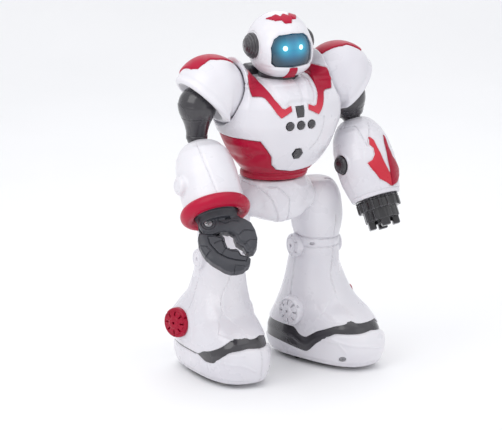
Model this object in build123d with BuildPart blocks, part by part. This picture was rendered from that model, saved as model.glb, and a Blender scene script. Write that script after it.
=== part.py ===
"""Toy robot with moulded shells, a clawed right arm and a barrelled left arm.

It stands on z = 0 and faces -Y; its left side is +X. Millimetres.
"""
from build123d import *
from collections import namedtuple
from math import copysign, cos, sin, radians, pi
import os

os.makedirs("parts", exist_ok=True)

# ---------------------------------------------------------------- shared sizes
WALL = 2.5                      # moulded shell thickness
GAP = 0.3                       # line between neighbouring shells
RUN = 0.05                      # radial running clearance of shafts
FAR = 90                        # cutting blocks reach this far from the middle
BELOW, ABOVE = 180, 330         # heights that clear the torso
SIDES = (-1, 1)                 # right, left

UP = (0, 0, 1)
FRONTWARD = (0, -1, 0)
BACKWARD = (0, 1, 0)

SHOULDER = Vector(72, -5, 293)  # centre of the left shoulder ball
PAD_R = 35.0
SOCKET_R = PAD_R + 1.2
HUB_R = 5.0                     # shoulder hub that plugs into the gearbox

HEAD = Vector(0, -13, 335.5)
HEAD_R = 32.0
NECK_Y = HEAD.Y
NECK_R = 7.0
WAIST_R = 8.0                   # bore the waist shaft runs in


# ---------------------------------------------------------------- helpers
def facing_front(x, y, z):
    """Upright plane with its normal to -Y."""
    return Plane((x, y, z), x_dir=(1, 0, 0), z_dir=FRONTWARD)


def facing_back(x, y, z):
    """Upright plane with its normal to +Y."""
    return Plane((x, y, z), x_dir=(-1, 0, 0), z_dir=BACKWARD)


def prism(plane, points, depth):
    """Closed polygon drawn on a plane and extruded."""
    with BuildPart() as block:
        with BuildSketch(plane):
            with BuildLine():
                Polyline(*points, close=True)
            make_face()
        extrude(amount=depth)
    return block.part


def prism_y(points, y0, y1):
    """Closed polygon in x, z swept from y0 to y1."""
    return prism(facing_front(0, y0, 0), points, y0 - y1)


def ball(centre, radius):
    with BuildPart(Location(centre)) as block:
        Sphere(radius)
    return block.part


def stepped(base, direction, steps):
    """Coaxial discs stacked from base; steps are (radius, thickness)."""
    base = Vector(base)
    direction = Vector(direction)
    with BuildPart() as stack:
        for radius, thickness in steps:
            with BuildSketch(Plane(base, z_dir=direction)):
                Circle(radius)
            extrude(amount=thickness)
            base = base + direction * thickness
    return stack.part


def rod(base, direction, radius, length):
    return stepped(base, direction, [(radius, length)])


def ellipse_loft(stations, grow=0.0, first_shift=0.0, last_shift=0.0):
    """Loft through level ellipses grown by `grow`, the end ones moved in z.

    Stations are (z, half width, half depth, x, y, turn in degrees).
    """
    shifts = [0.0] * len(stations)
    shifts[0] = first_shift
    shifts[-1] = last_shift
    with BuildPart() as body:
        for (z, half_x, half_y, x, y, turn), shift in zip(stations, shifts):
            x_dir = (cos(radians(turn)), sin(radians(turn)), 0)
            with BuildSketch(Plane((x, y, z + shift), x_dir=x_dir, z_dir=UP)):
                Ellipse(half_x + grow, half_y + grow)
        loft()
    return body.part


def centred(table):
    """Loft stations on the robot's middle plane, from (z, half width, half depth, y)."""
    return [(z, half_x, half_y, 0, y, 0) for z, half_x, half_y, y in table]


def cross(length, width):
    """Cross recess, drawn in the sketch that is open."""
    Rectangle(length, width)
    Rectangle(width, length)


def loosened(points, middle_z):
    """Outline in x, z moved out by the shell gap on all sides."""
    return [(x + copysign(GAP, x), z + copysign(GAP, z - middle_z)) for x, z in points]


def square_to(direction, axis):
    """Unit vector: the part of a direction that is square to a unit axis."""
    return (direction - axis * direction.dot(axis)).normalized()


def largest(part):
    return Part([part.solids().sort_by(SortBy.VOLUME)[-1]])


def save(part, name):
    part.label = name
    export_step(part, "parts/" + name + ".step")


# ---------------------------------------------------------------- torso
# z, half width, half depth, y of the middle
TORSO = [
    (200, 31, 30, -3), (208, 36, 35, -5), (220, 46, 41, -7), (233, 54, 46, -8),
    (247, 60, 50, -8), (262, 65, 53, -8), (277, 66, 52, -7), (290, 61, 45, -5),
    (298, 50, 36, -2), (302, 38, 28, 0),
]
# x, z of the edge between the bib and the waist shell
BIB = [(-FAR, 247), (-38, 247), (-27, 228), (-22, 217), (0, 210),
       (22, 217), (27, 228), (38, 247), (FAR, 247)]
# x, z of the left chest stripe
STRIPE = [(27, 303), (25, 292), (18.5, 278), (9.5, 280.5), (8, 275), (22, 268.5),
          (31, 285), (38, 287), (52, 287), (52, 303)]
# x, z of the sensor window and the battery door
SENSOR = [(-4.6, 278.6), (4.6, 278.6), (3.4, 269.6), (-3.4, 269.6)]
SENSOR_Z = 274
DOOR = [(-23, 236), (23, 236), (23, 270), (-23, 270)]
DOOR_Z = 253
DOOR_INNER_Y = 20               # door cuts start behind this

FLOOR, ROOF = 3.0, 2.5          # torso thickness at the bottom and top
SPLIT_Y = 8.0                   # front and back chest halves meet here
WAIST_INSET = 1.2               # the waist shell is smaller than the chest
BUTTON_PITCH = 12.0
BUTTON_Z = 261.0
BUTTON_R = 4.0
HEX_Z = 231.0
HEX_R = 5.5
SWITCH_X, SWITCH_Z = -1.2, 229
SPEAKER_Y, SPEAKER_Z = 30, 281
GRILLE_HOLE_R = 1.4
GRILLE_RINGS = ((5.2, 6), (10.0, 12))   # ring radius, number of holes
DOOR_SCREW_Z = 241
DOOR_SCREW_Y = 39.3             # underside of the screw head


def torso(grow=0.0, first_shift=0.0, last_shift=0.0):
    return ellipse_loft(centred(TORSO), grow, first_shift, last_shift)


def shoulder(side, x=SHOULDER.X):
    """Point on a shoulder's axis, x from the robot's middle."""
    return Vector(side * x, SHOULDER.Y, SHOULDER.Z)


def chest_body():
    """Hollow chest above the bib edge, before it is parted into front and back."""
    right_wall, left_wall = [ball(shoulder(side), SOCKET_R + 2.3) for side in SIDES]
    hollow = torso_inner - right_wall - left_wall
    body = (torso_outer - hollow) - right_socket - left_socket
    body = body & prism_y(BIB + [(FAR, ABOVE), (-FAR, ABOVE)], -FAR, FAR)
    for side in SIDES:
        body = body - rod(shoulder(side, 60), (-side, 0, 0), HUB_R + 0.6, 40)
    return body - rod((0, NECK_Y, 290), UP, NECK_R + RUN, 30)


torso_outer = torso()
torso_inner = torso(-WALL, FLOOR, -ROOF)
right_socket, left_socket = [ball(shoulder(side), SOCKET_R) for side in SIDES]
chest = chest_body()
FULL_HEIGHT = [(-FAR, BELOW), (FAR, BELOW), (FAR, ABOVE), (-FAR, ABOVE)]


def chest_front():
    with BuildPart() as front:
        add(chest & prism_y(FULL_HEIGHT, -FAR, SPLIT_Y))
        for x in (-BUTTON_PITCH, 0, BUTTON_PITCH):
            hole = rod((x, -40, BUTTON_Z), FRONTWARD, BUTTON_R + 0.08, 30)
            add(hole, mode=Mode.SUBTRACT)
        add(prism_y(loosened(SENSOR, SENSOR_Z), -FAR, -40), mode=Mode.SUBTRACT)
        with BuildSketch(facing_front(0, -FAR, HEX_Z)):
            RegularPolygon(HEX_R + 0.1, 6)
        extrude(amount=-50, mode=Mode.SUBTRACT)
    return front.part


def chest_back():
    with BuildPart() as back:
        add(chest & prism_y(FULL_HEIGHT, SPLIT_Y + GAP, FAR))
        add(prism_y(loosened(DOOR, DOOR_Z), DOOR_INNER_Y, FAR), mode=Mode.SUBTRACT)
        # speaker grille
        with BuildSketch(facing_back(0, FAR, SPEAKER_Z)):
            Circle(GRILLE_HOLE_R)
            for ring_radius, count in GRILLE_RINGS:
                with PolarLocations(ring_radius, count):
                    Circle(GRILLE_HOLE_R)
        extrude(amount=-60, mode=Mode.SUBTRACT)
        # power switch slot
        with BuildSketch(facing_back(0, FAR, SWITCH_Z)):
            Rectangle(9.0, 4.4)
        extrude(amount=-65, mode=Mode.SUBTRACT)
    return back.part


def battery_door():
    recess_floor_y = DOOR_SCREW_Y - 0.1
    groove_floor_y = 43.4
    with BuildPart() as door:
        add((torso_outer - torso_inner) & prism_y(DOOR, DOOR_INNER_Y, FAR))
        with BuildSketch(facing_back(0, FAR, DOOR_SCREW_Z)):
            Circle(1.6)
        extrude(amount=-60, mode=Mode.SUBTRACT)
        with BuildSketch(facing_back(0, FAR, DOOR_SCREW_Z)):
            Circle(3.2)
        extrude(amount=recess_floor_y - FAR, mode=Mode.SUBTRACT)
        # finger grooves
        for z in (258, 261, 264):
            with BuildSketch(facing_back(0, 60, z)):
                SlotOverall(22, 1.2)
            extrude(amount=groove_floor_y - 60, mode=Mode.SUBTRACT)
    return door.part


def battery_door_screw():
    head_height = 2.0
    with BuildPart() as screw:
        with BuildSketch(facing_back(0, DOOR_SCREW_Y, DOOR_SCREW_Z)):
            Circle(3.0)
        extrude(amount=head_height)
        with BuildSketch(facing_back(0, DOOR_SCREW_Y, DOOR_SCREW_Z)):
            Circle(1.5)
        extrude(amount=-6.5)
        with BuildSketch(facing_back(0, DOOR_SCREW_Y + head_height, DOOR_SCREW_Z)):
            cross(3.6, 0.8)
        extrude(amount=-1.2, mode=Mode.SUBTRACT)
    return screw.part


def waist_shell():
    """Torso below the bib edge, with a hole for the waist shaft."""
    zone = [(x, z - GAP) for x, z in BIB] + [(FAR, BELOW), (-FAR, BELOW)]
    walls = torso(-WAIST_INSET) - torso(-WAIST_INSET - WALL, FLOOR, -ROOF)
    with BuildPart() as waist:
        add(walls & prism_y(zone, -FAR, FAR))
        add(rod((0, 0, 190), UP, WAIST_R, 20), mode=Mode.SUBTRACT)
    return waist.part


def waist_shaft():
    """Hollow shaft with a flange on top."""
    stem, flange = 24, 4
    with BuildPart() as shaft:
        add(stepped((0, 0, 180), UP, ((WAIST_R - RUN, stem), (14.0, flange))))
        add(rod((0, 0, 180), UP, 4.5, stem + flange), mode=Mode.SUBTRACT)
    return shaft.part


def chest_stripes():
    """Thin chevron stripes laid on the chest."""
    end_y = SPLIT_Y - 1
    skin = torso(1.2) - torso(0.12)
    zone = prism_y(STRIPE, -FAR, end_y) + prism_y([(-x, z) for x, z in STRIPE], -FAR, end_y)
    with BuildPart() as stripes:
        add((skin & zone) - right_socket - left_socket)
        split(bisect_by=Plane.XY.offset(301.5), keep=Keep.BOTTOM)
    return stripes.part


def sensor_window():
    return prism(facing_front(0, -60.9, 0), SENSOR, -5)


def chest_button(x):
    """Round button with a flange at its inner end."""
    with BuildPart() as button:
        with BuildSketch(facing_front(x, -50.0, BUTTON_Z)):
            Circle(BUTTON_R)
        extrude(amount=12.6)
        fillet(button.faces().sort_by(Axis.Y)[0].edges(), 0.8)
        with BuildSketch(facing_front(x, -50.0, BUTTON_Z)):
            Circle(BUTTON_R + 1.2)
        extrude(amount=2.0)
    return button.part


def hex_button():
    with BuildPart() as button:
        with BuildSketch(facing_front(0, -44.0, HEX_Z)):
            RegularPolygon(HEX_R, 6)
        extrude(amount=11.6)
        chamfer(button.faces().sort_by(Axis.Y)[0].edges(), 0.7)
    return button.part


def power_switch():
    """Slider with a wider foot at its inner end."""
    with BuildPart() as switch:
        with BuildSketch(facing_back(SWITCH_X, 38.6, SWITCH_Z)):
            Rectangle(4.6, 4.2)
        extrude(amount=-6.0)
        with BuildSketch(facing_back(SWITCH_X, 33.0, SWITCH_Z)):
            Rectangle(7.0, 6.0)
        extrude(amount=-2.0)
    return switch.part


def neck_collar():
    """Flat ring on the chest, with a tab to the back."""
    with BuildPart() as collar:
        with BuildSketch(Plane.XY.offset(TORSO[-1][0] + GAP)):
            with Locations((0, NECK_Y)):
                Circle(20)
            with Locations((0, 14)):
                RectangleRounded(38, 17, 4)
            with Locations((0, NECK_Y)):
                Circle(15.6, mode=Mode.SUBTRACT)
        extrude(amount=4.6)
    return collar.part


def control_board():
    board_y, thickness = -18, 1.6
    # x, z, width, height, thickness
    chips = ((-8, 250, 14, 14, 2.5), (12, 240, 8, 10, 2), (10, 258, 10, 6, 3),
             (-10, 234, 12, 6, 4))
    with BuildPart() as board:
        with BuildSketch(facing_front(0, board_y, 246)):
            RectangleRounded(54, 44, 2)
            with GridLocations(46, 36, 2, 2):
                Circle(1.6, mode=Mode.SUBTRACT)
        extrude(amount=thickness)
        for x, z, width, height, chip_thickness in chips:
            with BuildSketch(facing_front(x, board_y - thickness, z)):
                Rectangle(width, height)
            extrude(amount=chip_thickness)
    return board.part


def speaker():
    rim = 3
    with BuildPart() as driver:
        with BuildSketch(facing_back(0, SPEAKER_Y, SPEAKER_Z)):
            Circle(13)
        extrude(amount=-rim)
        with BuildSketch(facing_back(0, SPEAKER_Y - rim, SPEAKER_Z)):
            Circle(8)
        extrude(amount=-6)
        # tapered hollow in the back face
        with BuildSketch(facing_back(0, SPEAKER_Y, SPEAKER_Z)):
            Circle(11)
        extrude(amount=-2, taper=30, mode=Mode.SUBTRACT)
    return driver.part


def battery_pack():
    back_y, depth = 30, 18
    with BuildPart() as pack:
        with BuildSketch(facing_back(0, back_y, 252)):
            RectangleRounded(44, 29, 3)
        extrude(amount=-depth)
        with BuildSketch(facing_back(0, back_y - depth, 253)):
            Rectangle(12, 6)
        extrude(amount=-3)
    return pack.part


def arm_gearboxes():
    """Two boxes with a hub bore on the outer side and a round motor behind."""
    depth = 22
    with BuildPart() as boxes:
        with BuildSketch(Plane.XY.offset(281)):
            for side in SIDES:
                with Locations((side * 22.5, SHOULDER.Y)):
                    RectangleRounded(17, depth, 2)
        extrude(amount=17)
        for side in SIDES:
            bore = rod(shoulder(side, 31), (-side, 0, 0), HUB_R + RUN, 12)
            add(bore, mode=Mode.SUBTRACT)
            add(rod((side * 20, SHOULDER.Y + depth / 2, 289), BACKWARD, 6, 11))
    return boxes.part


# ---------------------------------------------------------------- head
# x, z of the visor and of the opening for it
VISOR = [(-22, 337), (-22, 321), (-19, 318), (19, 318), (22, 321), (22, 337),
         (16, 349.5), (-16, 349.5)]
VISOR_HOLE = [(-22.3, 337.1), (-22.3, 320.8), (-19.2, 317.7), (19.2, 317.7),
              (22.3, 320.8), (22.3, 337.1), (16.2, 349.8), (-16.2, 349.8)]
# y, z of the jaw zone, of the cut it leaves in the helmet, and of the chin
JAW = [(-60, 317.7), (-8.2, 317.7), (5.6, 300), (-60, 300)]
JAW_CUT = [(-60, 318), (-8, 318), (6, 300), (-60, 300)]
CHIN = [(-33.5, 316.5), (-42.5, 317.4), (-42.0, 309), (-39.5, 304.2), (-34.8, 304.2),
        (-34.8, 308.6), (-31.0, 311.8)]
# x, z of the plate on the chin; x, y of the crest on the forehead
CHIN_PLATE = [(-4.6, 316), (4.6, 316), (6.6, 309.5), (-6.6, 309.5)]
CREST = [(-17, -18), (-8, -23), (0, -21), (8, -23), (17, -18), (12, -28), (4, -31.5),
         (0, -34), (-4, -31.5), (-12, -28)]
EYE_X, EYE_Z, EYE_R = 8.7, 336.0, 3.6
EAR_X = 29.5                    # flat ends of the head ball
EAR_STUD_R = 3.0


def head_wall(outer_radius, inner_radius):
    return ball(HEAD, outer_radius) - ball(HEAD, inner_radius)


def head_body():
    """Hollow head with flat sides and a neck hole, before the jaw is parted off."""
    body = head_wall(HEAD_R, HEAD_R - WALL)
    for side in SIDES:
        body = body - rod((side * EAR_X, HEAD.Y, HEAD.Z), (side, 0, 0), 40, 20)
    return body - rod((0, NECK_Y, 295), UP, NECK_R + 0.06, 14)


head = head_body()


def jaw_zone(points):
    return prism(Plane.YZ.offset(-50), points, 100)


def eye_rod(x, radius):
    return rod((x, -60, EYE_Z), BACKWARD, radius, 40)


def helmet_shell():
    with BuildPart() as helmet:
        add(head - jaw_zone(JAW_CUT))
        add(prism_y(VISOR_HOLE, -60, -20), mode=Mode.SUBTRACT)
        ear_hole = rod((-40, HEAD.Y, HEAD.Z), (1, 0, 0), EAR_STUD_R + RUN, 80)
        add(ear_hole, mode=Mode.SUBTRACT)
    return helmet.part


def face_jaw():
    with BuildPart() as jaw:
        add(head & jaw_zone(JAW))
        add(prism(Plane.YZ.offset(-8), CHIN, 16))
    return jaw.part


def visor():
    with BuildPart() as shield:
        add(head_wall(31.0, 28.8) & prism_y(VISOR, -60, -20))
        for x in (-EYE_X, EYE_X):
            add(eye_rod(x, EYE_R + 0.1), mode=Mode.SUBTRACT)
    return shield.part


def eye_lenses():
    with BuildPart() as lenses:
        for x in (-EYE_X, EYE_X):
            add(eye_rod(x, EYE_R) & head_wall(31.3, 26.5))
    return lenses.part


def head_trim():
    """Crest on the forehead and plate on the chin."""
    with BuildPart() as trim:
        add(head_wall(HEAD_R + 1.0, HEAD_R + 0.1) & prism(Plane.XY.offset(345), CREST, 40))
        add(prism(facing_front(0, -42.7, 0), CHIN_PLATE, 1.2))
    return trim.part


def ear_discs():
    """Stepped discs with a dished face and a stud into the head."""
    steps = ((12, 2.4), (10, 3.0), (8.5, 2.6))
    height = sum(thickness for radius, thickness in steps)
    with BuildPart() as ears:
        for side in SIDES:
            seat = Vector(side * (EAR_X + 0.1), HEAD.Y, HEAD.Z)
            out = Vector(side, 0, 0)
            add(stepped(seat, out, steps))
            add(rod(seat + out * height, -out, 5, 1.2), mode=Mode.SUBTRACT)
            add(rod(seat, -out, EAR_STUD_R, 6))
    return ears.part


def neck_shaft():
    """Hollow shaft with a flange inside the head."""
    stem, flange = 15.5, 2.5
    base = (0, NECK_Y, 294.0)
    with BuildPart() as shaft:
        add(stepped(base, UP, ((NECK_R, stem), (10.5, flange))))
        add(rod(base, UP, 4, stem + flange), mode=Mode.SUBTRACT)
    return shaft.part


def eye_board():
    """Small board with a round lamp behind each eye."""
    board_y, thickness = -30, 1.6
    with BuildPart() as board:
        with BuildSketch(facing_front(0, board_y, EYE_Z)):
            RectangleRounded(32, 14, 2)
        extrude(amount=thickness)
        for x in (-EYE_X, EYE_X):
            with BuildSketch(facing_front(x, board_y - thickness, EYE_Z)):
                Circle(2.5)
            extrude(amount=3)
    return board.part


# ---------------------------------------------------------------- shoulders, upper arms
# ball: centre of the upper arm's top; top: middle of the forearm's top;
# axis: down the forearm; elbow_rise: from `top` back along the axis to the elbow
Arm = namedtuple("Arm", "side ball top axis elbow_rise")
RIGHT_ARM = Arm(side=-1, ball=Vector(-88, -8, 281), top=Vector(-88, -10, 242),
                axis=Vector(-0.07, -0.615, -0.785).normalized(), elbow_rise=7.0)
LEFT_ARM = Arm(side=1, ball=Vector(80, -8, 273), top=Vector(86, -10, 248.4),
               axis=Vector(0.09, -0.44, -0.893).normalized(), elbow_rise=6.0)
UPPER_R = 19.0
ELBOW_R = 9.6
STEM_R = 8.0
# x, y of the shoulder cap from the middle of the shoulder
CAP = [(-25, 16), (-24.5, -11), (-20, -15), (0, -14), (20, -15), (24.5, -11), (25, 16),
       (18, 20), (-18, 20)]


def shoulder_pad(arm):
    centre = shoulder(arm.side)
    opening = Vector(arm.side * 0.62, -0.1, -0.78).normalized()
    with BuildPart() as pad:
        add(ball(centre, PAD_R) - ball(centre, PAD_R - WALL))
        # the arm comes out through a slanted opening
        add(rod(centre + opening * 23.5, opening, 40, 30), mode=Mode.SUBTRACT)
        add(ball(arm.ball, UPPER_R + 0.6), mode=Mode.SUBTRACT)
        # hub that plugs into the gearbox
        add(rod(shoulder(arm.side, 21.5), (arm.side, 0, 0), HUB_R, 18.5))
    return pad.part


def shoulder_cap(arm):
    """Thin plate laid on top of the shoulder pad."""
    centre = shoulder(arm.side)
    outline = [(centre.X + x, centre.Y + y) for x, y in CAP]
    skin = ball(centre, PAD_R + 1.0) - ball(centre, PAD_R + 0.12)
    with BuildPart() as cap:
        add(skin & prism(Plane.XY.offset(305), outline, 60))
    return cap.part


def upper_arm(arm):
    elbow = arm.top - arm.axis * arm.elbow_rise
    reach = (elbow - arm.ball).length
    down = (elbow - arm.ball).normalized()
    with BuildPart() as upper:
        add(ball(arm.ball, UPPER_R))
        with BuildSketch(Plane(arm.ball, z_dir=down).offset(8)):
            Circle(UPPER_R - 2.2)
        with BuildSketch(Plane(arm.ball, z_dir=down).offset(reach - 3)):
            Circle(ELBOW_R)
        loft()
        add(ball(elbow, ELBOW_R))
        # stem that the forearm turns on, with a flange inside the forearm
        add(rod(elbow, arm.axis, STEM_R, arm.elbow_rise + 8))
        add(rod(arm.top + arm.axis * 4.0, arm.axis, 10.4, 4))
    return upper.part


# ---------------------------------------------------------------- forearms
def forearm_frame(arm):
    """Plane at the forearm's top, its normal down the forearm."""
    return Plane(arm.top, x_dir=(1, 0, 0), z_dir=arm.axis)


def profile_plane(frame):
    """Plane through a frame's axis: local x is the radius, local y runs down the axis."""
    return Plane(frame.origin, x_dir=frame.x_dir, z_dir=-frame.y_dir)


def turned(frame, outer_points, inner_points, inner_curve=Polyline):
    """Shell turned about the frame's normal from (radius, distance) profiles."""
    with BuildPart() as body:
        with BuildSketch(profile_plane(frame)):
            with BuildLine():
                Spline(*outer_points)
                Line(outer_points[-1], inner_points[-1])
                inner_curve(*reversed(inner_points))
                Line(inner_points[0], outer_points[0])
            make_face()
        revolve(axis=Axis(frame.origin, frame.z_dir), revolution_arc=360)
    return body.part


# profiles: radius, distance down the forearm
BORE_R = STEM_R + 0.06
RIGHT_OUT = [(BORE_R, 0), (13, 1.2), (20.5, 6.5), (25.5, 14), (28.3, 24), (29.8, 36),
             (30.2, 52), (30, 74.5)]
RIGHT_IN = [(BORE_R, 2.6), (12.5, 3.8), (18.5, 8.8), (23.0, 15.5), (25.8, 25), (27.2, 36),
            (27.6, 52), (27.4, 74.5)]
LEFT_OUT = [(BORE_R, 0), (13, 1.6), (20, 8), (25, 16), (28.5, 28), (30.3, 45), (29.6, 62),
            (26.6, 76), (24.4, 84)]
LEFT_IN = [(BORE_R, 2.6), (12.2, 4.2), (18, 10), (22.4, 17.2), (25.9, 28.5), (27.7, 45),
           (27, 62), (24, 75.5), (21.8, 84)]
right_frame = forearm_frame(RIGHT_ARM)
left_frame = forearm_frame(LEFT_ARM)
right_axis = RIGHT_ARM.axis
left_axis = LEFT_ARM.axis
WRIST_DISTANCE = 82.0           # from the top of the right forearm
POD_END = LEFT_OUT[-1][1]       # open end of the left forearm
PIVOT_PIN_R = 6.0               # pin the barrel turns on


def right_forearm_shell():
    """Open bell with a round boss on the outer side."""
    outward = Vector(-1.0, 0.0, 0.09).normalized()
    with BuildPart() as bell:
        add(turned(right_frame, RIGHT_OUT, RIGHT_IN))
        add(rod(RIGHT_ARM.top + right_axis * 46 + outward * 27.6, outward, 9, 8.6))
    return bell.part


def wrist_ring():
    with BuildPart() as ring:
        with BuildSketch(profile_plane(right_frame)):
            with Locations((28, WRIST_DISTANCE)):
                Circle(7)
        revolve(axis=Axis(right_frame.origin, right_frame.z_dir), revolution_arc=360)
    return ring.part


KNOB_DIR = square_to(Vector(-1.0, -0.14, 0.0), left_axis)
KNOB_AT = LEFT_ARM.top + left_axis * 44
KNOB_R = 7.5


def left_forearm_shell():
    """Pod with an end wall for the barrel's pin and a hole for the knob."""
    with BuildPart() as pod:
        add(turned(left_frame, LEFT_OUT, LEFT_IN))
        with BuildSketch(left_frame.offset(POD_END - 4.5)):
            Circle(22.4)
            Circle(PIVOT_PIN_R + RUN, mode=Mode.SUBTRACT)
        extrude(amount=2.5)
        add(rod(KNOB_AT + KNOB_DIR * 24, KNOB_DIR, KNOB_R + 0.1, 14), mode=Mode.SUBTRACT)
    return pod.part


def launch_knob():
    """Round knob with a flange inside the pod."""
    flange = 1.8
    seat = 25.2
    with BuildPart() as knob:
        add(rod(KNOB_AT + KNOB_DIR * seat, KNOB_DIR, KNOB_R, 8.6))
        fillet(knob.faces().sort_by(Axis(KNOB_AT, KNOB_DIR))[-1].edges(), 1.6)
        add(rod(KNOB_AT + KNOB_DIR * (seat - flange), KNOB_DIR, 9.0, flange))
    return knob.part


def barrel():
    """Ribbed drum and nose with four end blocks, turning on a flanged pin."""
    drum_start = POD_END + 0.5
    nose_start = POD_END + 12
    nose_end = nose_start + 10.5
    drum_length = nose_start - drum_start
    drum_r, block_ring_r = 20.0, 12.4
    with BuildPart() as drum:
        with BuildSketch(left_frame.offset(drum_start)):
            Circle(drum_r)
        extrude(amount=drum_length)
        with BuildSketch(left_frame.offset(drum_start)):
            with PolarLocations(drum_r, 14):
                Rectangle(2.6, 4.4)
        extrude(amount=drum_length)
        with BuildSketch(left_frame.offset(nose_start)):
            Circle(16.6)
        extrude(amount=nose_end - nose_start)
        with BuildSketch(left_frame.offset(nose_end)):
            with PolarLocations(block_ring_r, 4):
                RectangleRounded(6, 6.6, 1.2)
        extrude(amount=7.5)
        # hollow in the nose, and holes between the blocks
        with BuildSketch(left_frame.offset(nose_end)):
            Circle(9)
            with PolarLocations(block_ring_r, 4, start_angle=45):
                Circle(2.4)
        extrude(amount=-6, mode=Mode.SUBTRACT)
        # pin and its flange inside the pod
        with BuildSketch(left_frame.offset(drum_start)):
            Circle(PIVOT_PIN_R)
        extrude(amount=-12)
        with BuildSketch(left_frame.offset(drum_start - 12)):
            Circle(9.0)
        extrude(amount=5)
    return drum.part


# distance across the pod, distance down the pod
INLAY = [(-10, 26), (-6, 40), (-6.5, 47), (-12, 54), (-2, 66), (12, 78), (17, 68), (17.5, 50),
         (12.5, 44), (9, 33), (4, 22), (3, 30), (9, 62), (10.5, 66), (-3, 34)]


def forearm_inlay():
    """Thin V-shaped inlay on the outer front of the pod."""
    normal = square_to(Vector(0.30, -0.86, 0.42), left_axis)
    # local x points to the robot's right, so the outline is mirrored
    plane = Plane(LEFT_ARM.top, x_dir=left_axis.cross(normal), z_dir=normal)
    block = prism(plane.offset(5), [(-x, distance) for x, distance in INLAY], 40)
    skin_out, skin_in = [[(radius + grow, distance) for radius, distance in LEFT_OUT[2:]]
                         for grow in (1.0, 0.12)]
    with BuildPart() as inlay:
        add(turned(left_frame, skin_out, skin_in, inner_curve=Spline) & block)
    return inlay.part


# ---------------------------------------------------------------- claw
WRIST = RIGHT_ARM.top + right_axis * WRIST_DISTANCE
PALM_NORMAL = square_to(Vector(-0.342, -0.742, 0.583), right_axis)
# local y runs back up the arm
claw_plane = Plane(WRIST, x_dir=PALM_NORMAL.cross(right_axis), z_dir=PALM_NORMAL)
PIVOT = (-10.3, -6.2)           # in the claw plane
PIVOT_HOLE_R = 2.05
# outlines: distance across the palm, distance beyond the wrist
PALM = [(-19.5, -3), (-18.5, 0), (-10.3, 17.2), (0, 18), (3, 17.5), (8, 19.5), (11.5, 22.5),
        (12, 32), (17, 36), (19, 43), (26, 44.5), (31, 39), (33.5, 26), (31.5, 14),
        (25.5, 8.5), (22.3, 6), (19.6, 3), (19.4, -3)]
FINGER = [(-22.5, 15), (-24, 25), (-20, 40), (-10, 52), (0, 60), (12, 61), (18, 58),
          (22.5, 50.5), (18.5, 46.2), (14, 44), (11.0, 36.5), (5, 36), (2, 32), (2, 23),
          (0.3, 20.5), (-4, 20.5), (-8, 17.5)]
TANG = [(-16.0, 6.5), (-4.6, 6.5), (-6.5, 20), (-20, 20)]


def flip(points):
    """Outline measured beyond the wrist, in the claw plane's coordinates."""
    return [(x, -y) for x, y in points]


def pivot_rod(height, radius, length):
    """Cylinder on the pivot's axis, from a height above the claw plane."""
    with BuildPart() as pin:
        with BuildSketch(claw_plane.offset(height)):
            with Locations(PIVOT):
                Circle(radius)
        extrude(amount=length)
    return pin.part


def claw_palm():
    """Palm with a fixed finger and a round base inside the wrist ring."""
    with BuildPart() as palm:
        with BuildSketch(claw_plane.offset(-7)):
            with BuildLine():
                Polyline(*flip(PALM), close=True)
            make_face()
            with Locations(PIVOT):
                Circle(10.3)
        extrude(amount=14)
        chamfer(palm.faces().sort_by(Axis(WRIST, PALM_NORMAL))[-1].edges(), 1.2)
        # slot for the jaw's tang
        with BuildSketch(claw_plane.offset(-3.3)):
            with Locations((-16, -14.2)):
                Rectangle(30, 31)
        extrude(amount=6.6, mode=Mode.SUBTRACT)
        with BuildSketch(Plane(WRIST - right_axis * 9, x_dir=(1, 0, 0), z_dir=right_axis)):
            Circle(20.4)
        extrude(amount=7.6)
        # pivot hole and the recess for the screw head
        add(pivot_rod(-8, PIVOT_HOLE_R, 16), mode=Mode.SUBTRACT)
        add(pivot_rod(5.4, 4.3, 4), mode=Mode.SUBTRACT)
    return palm.part


def claw_jaw():
    """Hinged finger with a thinner tang around the pivot."""
    with BuildPart() as jaw:
        with BuildSketch(claw_plane.offset(-6.8)):
            with BuildLine():
                Polyline(*flip(FINGER), close=True)
            make_face()
            with Locations(PIVOT):
                Circle(11.7, mode=Mode.SUBTRACT)
        extrude(amount=13.6)
        chamfer(jaw.faces().sort_by(Axis(WRIST, PALM_NORMAL))[-1].edges(), 1.1)
        with BuildSketch(claw_plane.offset(-3)):
            with Locations(PIVOT):
                Circle(6.4)
            with BuildLine():
                Polyline(*flip(TANG), close=True)
            make_face()
        extrude(amount=6)
        add(pivot_rod(-8, PIVOT_HOLE_R, 16), mode=Mode.SUBTRACT)
    return jaw.part


def claw_pivot_screw():
    head_base, head_height = 5.5, 2.2
    with BuildPart() as screw:
        add(pivot_rod(-6.9, PIVOT_HOLE_R - RUN, 13.4))
        add(pivot_rod(head_base, 4.1, head_height))
        with BuildSketch(claw_plane.offset(head_base + head_height)):
            with Locations(PIVOT):
                cross(4.8, 0.9)
        extrude(amount=-1.1, mode=Mode.SUBTRACT)
    return screw.part


# ---------------------------------------------------------------- pelvis, legs and shoes
# left leg: z, half width, half depth, x, y
LEG = [
    (190.5, 9, 9, 51, 3), (187, 17, 17, 51, 3), (180, 21.5, 22, 51.5, 3),
    (168, 24.5, 25, 52, 3), (152, 25.5, 26, 53, 4), (140, 24, 25.5, 53.5, 5),
    (129, 21.5, 24, 54, 6), (116, 23, 26, 54, 9), (103, 24.5, 29, 54, 10),
    (91, 27, 31, 55, 10.5), (76, 30.5, 37, 56.5, 10), (66, 32.5, 43, 57.5, 9),
    (56, 34, 50, 58.5, 7), (47.5, 34.5, 55, 59, 5.5),
]
HIP = LEG[:6]                   # the part that meets the pelvis
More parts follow.
